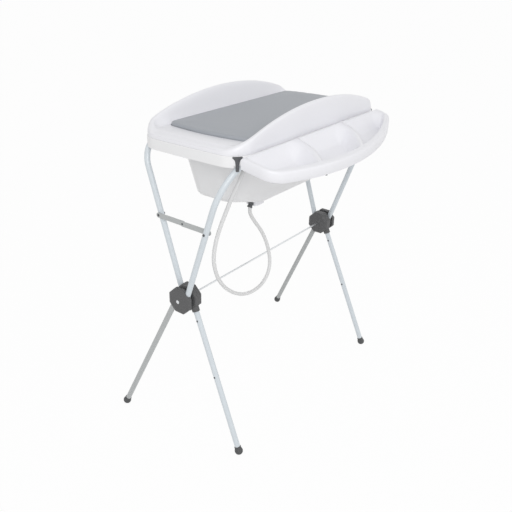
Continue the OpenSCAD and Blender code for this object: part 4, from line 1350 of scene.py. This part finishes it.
def tray_end(side):
    """Points down one end of the tray and round its front corner, from the back."""
    tray = settings().tray
    r = tray.corner_r
    x = side * (TRAY_HALF - r)
    out = TRAY_REACH - tray.arc_r + math.sqrt((tray.arc_r - r) ** 2 - (x - tray.arc_x) ** 2)
    corner = Vector((x, -out))
    start, stop = Vector((side * TRAY_HALF, 0)), Vector((side * TRAY_HALF, corner.y))
    run = [start.lerp(stop, i / TRAY_END_STEPS) for i in range(1, TRAY_END_STEPS)]
    toward = Vector((corner.x - tray.arc_x, corner.y + (TRAY_REACH - tray.arc_r)))
    first = 0 if side == FAR else -math.pi
    last = math.atan2(toward.y, toward.x)
    turns = [first + (last - first) * i / TRAY_ARC_STEPS for i in range(TRAY_ARC_STEPS + 1)]
    return run + [Vector((corner.x + r * math.cos(a), corner.y + r * math.sin(a))) for a in turns]


def tray_outline():
    """Points round the tray, from its near back corner along the back and round the front."""
    back = [Vector((-TRAY_HALF + 2 * TRAY_HALF * i / BACK_STEPS, 0)) for i in range(BACK_STEPS + 1)]
    far, near = tray_end(FAR), tray_end(NEAR)
    places = [between(far[-1].x, near[-1].x, i / FRONT_STEPS) for i in range(1, FRONT_STEPS)]
    return back + far + [Vector((x, -tray_front(x))) for x in places] + near[::-1]


def bowl_depth(x, out, edge):
    """Depth of the compartments below the lip, at a place along, out from the back and in."""
    tray = settings().tray
    ridge = tray.ridge_w / 2
    sweep = (out / SWEEP_REACH) ** 2
    near = tray.near_ridge - tray.near_sweep * sweep
    far = tray.far_ridge - tray.far_sweep * sweep
    last = TRAY_HALF - tray.lip_w
    spans = [(-last, near - ridge), (near + ridge, far - ridge), (far + ridge, last)]
    across = max(smooth((x - start) / tray.steep) * smooth((end - x) / tray.flank)
                 for start, end in spans)
    from_back = smooth((out - BACK_FLANK_START) / BACK_FLANK)
    from_front = smooth((edge - tray.front_lip) / tray.front_w)
    return tray.bowl_h * across * from_back * from_front


def tray_spot(p, inset, drop, share):
    """A point of the tray's skin: drawn in from the edge, then a share of the way to the middle."""
    x = p.x * (1 - inset / TRAY_HALF)
    depth = tray_front(min(max(x, -TRAY_HALF), TRAY_HALF))
    out = -p.y
    out += inset * min(max(INSET_TURN * (0.5 - out / depth), -1), 1)
    middle_x = min(max(x, -TRAY_HALF + MIDDLE_INSET), TRAY_HALF - MIDDLE_INSET)
    middle = min(tray_front(middle_x), MIDDLE_MOST) * 0.5
    x, out = between(x, middle_x, share), between(out, middle, share)
    edge = min(tray_front(x) - out, TRAY_HALF - abs(x) + END_EDGE)
    sink = bowl_depth(x, out, edge) if share else 0
    lip = TRAY_HIGH.z - out * math.tan(settings().tray.tilt)
    return Vector((x, TRAY_BACK_Y - out, lip - drop - sink))


class BATHTABLE_OT_tray(bpy.types.Operator):
    """Makes the organiser tray: a bowed shell with three scooped compartments and soft ridges."""

    bl_idname = "bathtable.tray"
    bl_label = "Organiser tray"

    def execute(self, context):
        tray = settings().tray
        steps = [(SOFT_STEP, tray.skirt_h, 0), (0, tray.skirt_h - 2 * SOFT_STEP, 0)]
        steps += [(inset, drop, 0) for inset, drop in TRAY_EDGE]
        steps += [(TRAY_EDGE[-1][0], 0, i / TRAY_RINGS) for i in range(1, TRAY_RINGS + 1)]
        ring = tray_outline()
        loops = [[tray_spot(p, *step) for p in ring] for step in steps]
        shell = mesh_object("tray_shell", loft(loops, capped=False), sharp=TRAY_SHARP)
        modified(shell, "SOLIDIFY", thickness=tray.wall, offset=-1)
        shell.data.set_sharp_from_angle(angle=math.radians(TRAY_SHARP))
        hand_over(shell, "tray", "white_plastic", "top", "organiser_tray")
        return {"FINISHED"}


# ---- Panel and run ----

OPERATORS = [
    BATHTABLE_OT_stage, BATHTABLE_OT_hose, BATHTABLE_OT_tubes, BATHTABLE_OT_hubs,
    BATHTABLE_OT_feet, BATHTABLE_OT_fasteners, BATHTABLE_OT_bath, BATHTABLE_OT_drain,
    BATHTABLE_OT_changer, BATHTABLE_OT_mat, BATHTABLE_OT_tray,
]


class BATHTABLE_PT_panel(bpy.types.Panel):
    """Lists the table's pieces in the sidebar."""

    bl_idname = "BATHTABLE_PT_panel"
    bl_label = "Bath and changing table"
    bl_space_type = "VIEW_3D"
    bl_region_type = "UI"
    bl_category = "Bath table"

    def draw(self, context):
        for kind in OPERATORS:
            self.layout.operator(kind.bl_idname)


CLASSES = [StandSizes, BathSizes, ChangerSizes, TraySizes, Finishes, TableSettings, *OPERATORS,
           BATHTABLE_PT_panel]


def register():
    """Registers the classes and puts the settings on the scene."""
    for kind in CLASSES:
        bpy.utils.register_class(kind)
    bpy.types.Scene.bath_table = bpy.props.PointerProperty(type=TableSettings)


def unregister():
    """Removes what register added."""
    del bpy.types.Scene.bath_table
    for kind in reversed(CLASSES):
        bpy.utils.unregister_class(kind)


def main():
    register()
    for kind in OPERATORS:
        group, name = kind.bl_idname.split(".")
        getattr(getattr(bpy.ops, group), name)()


if __name__ == "__main__":
    main()
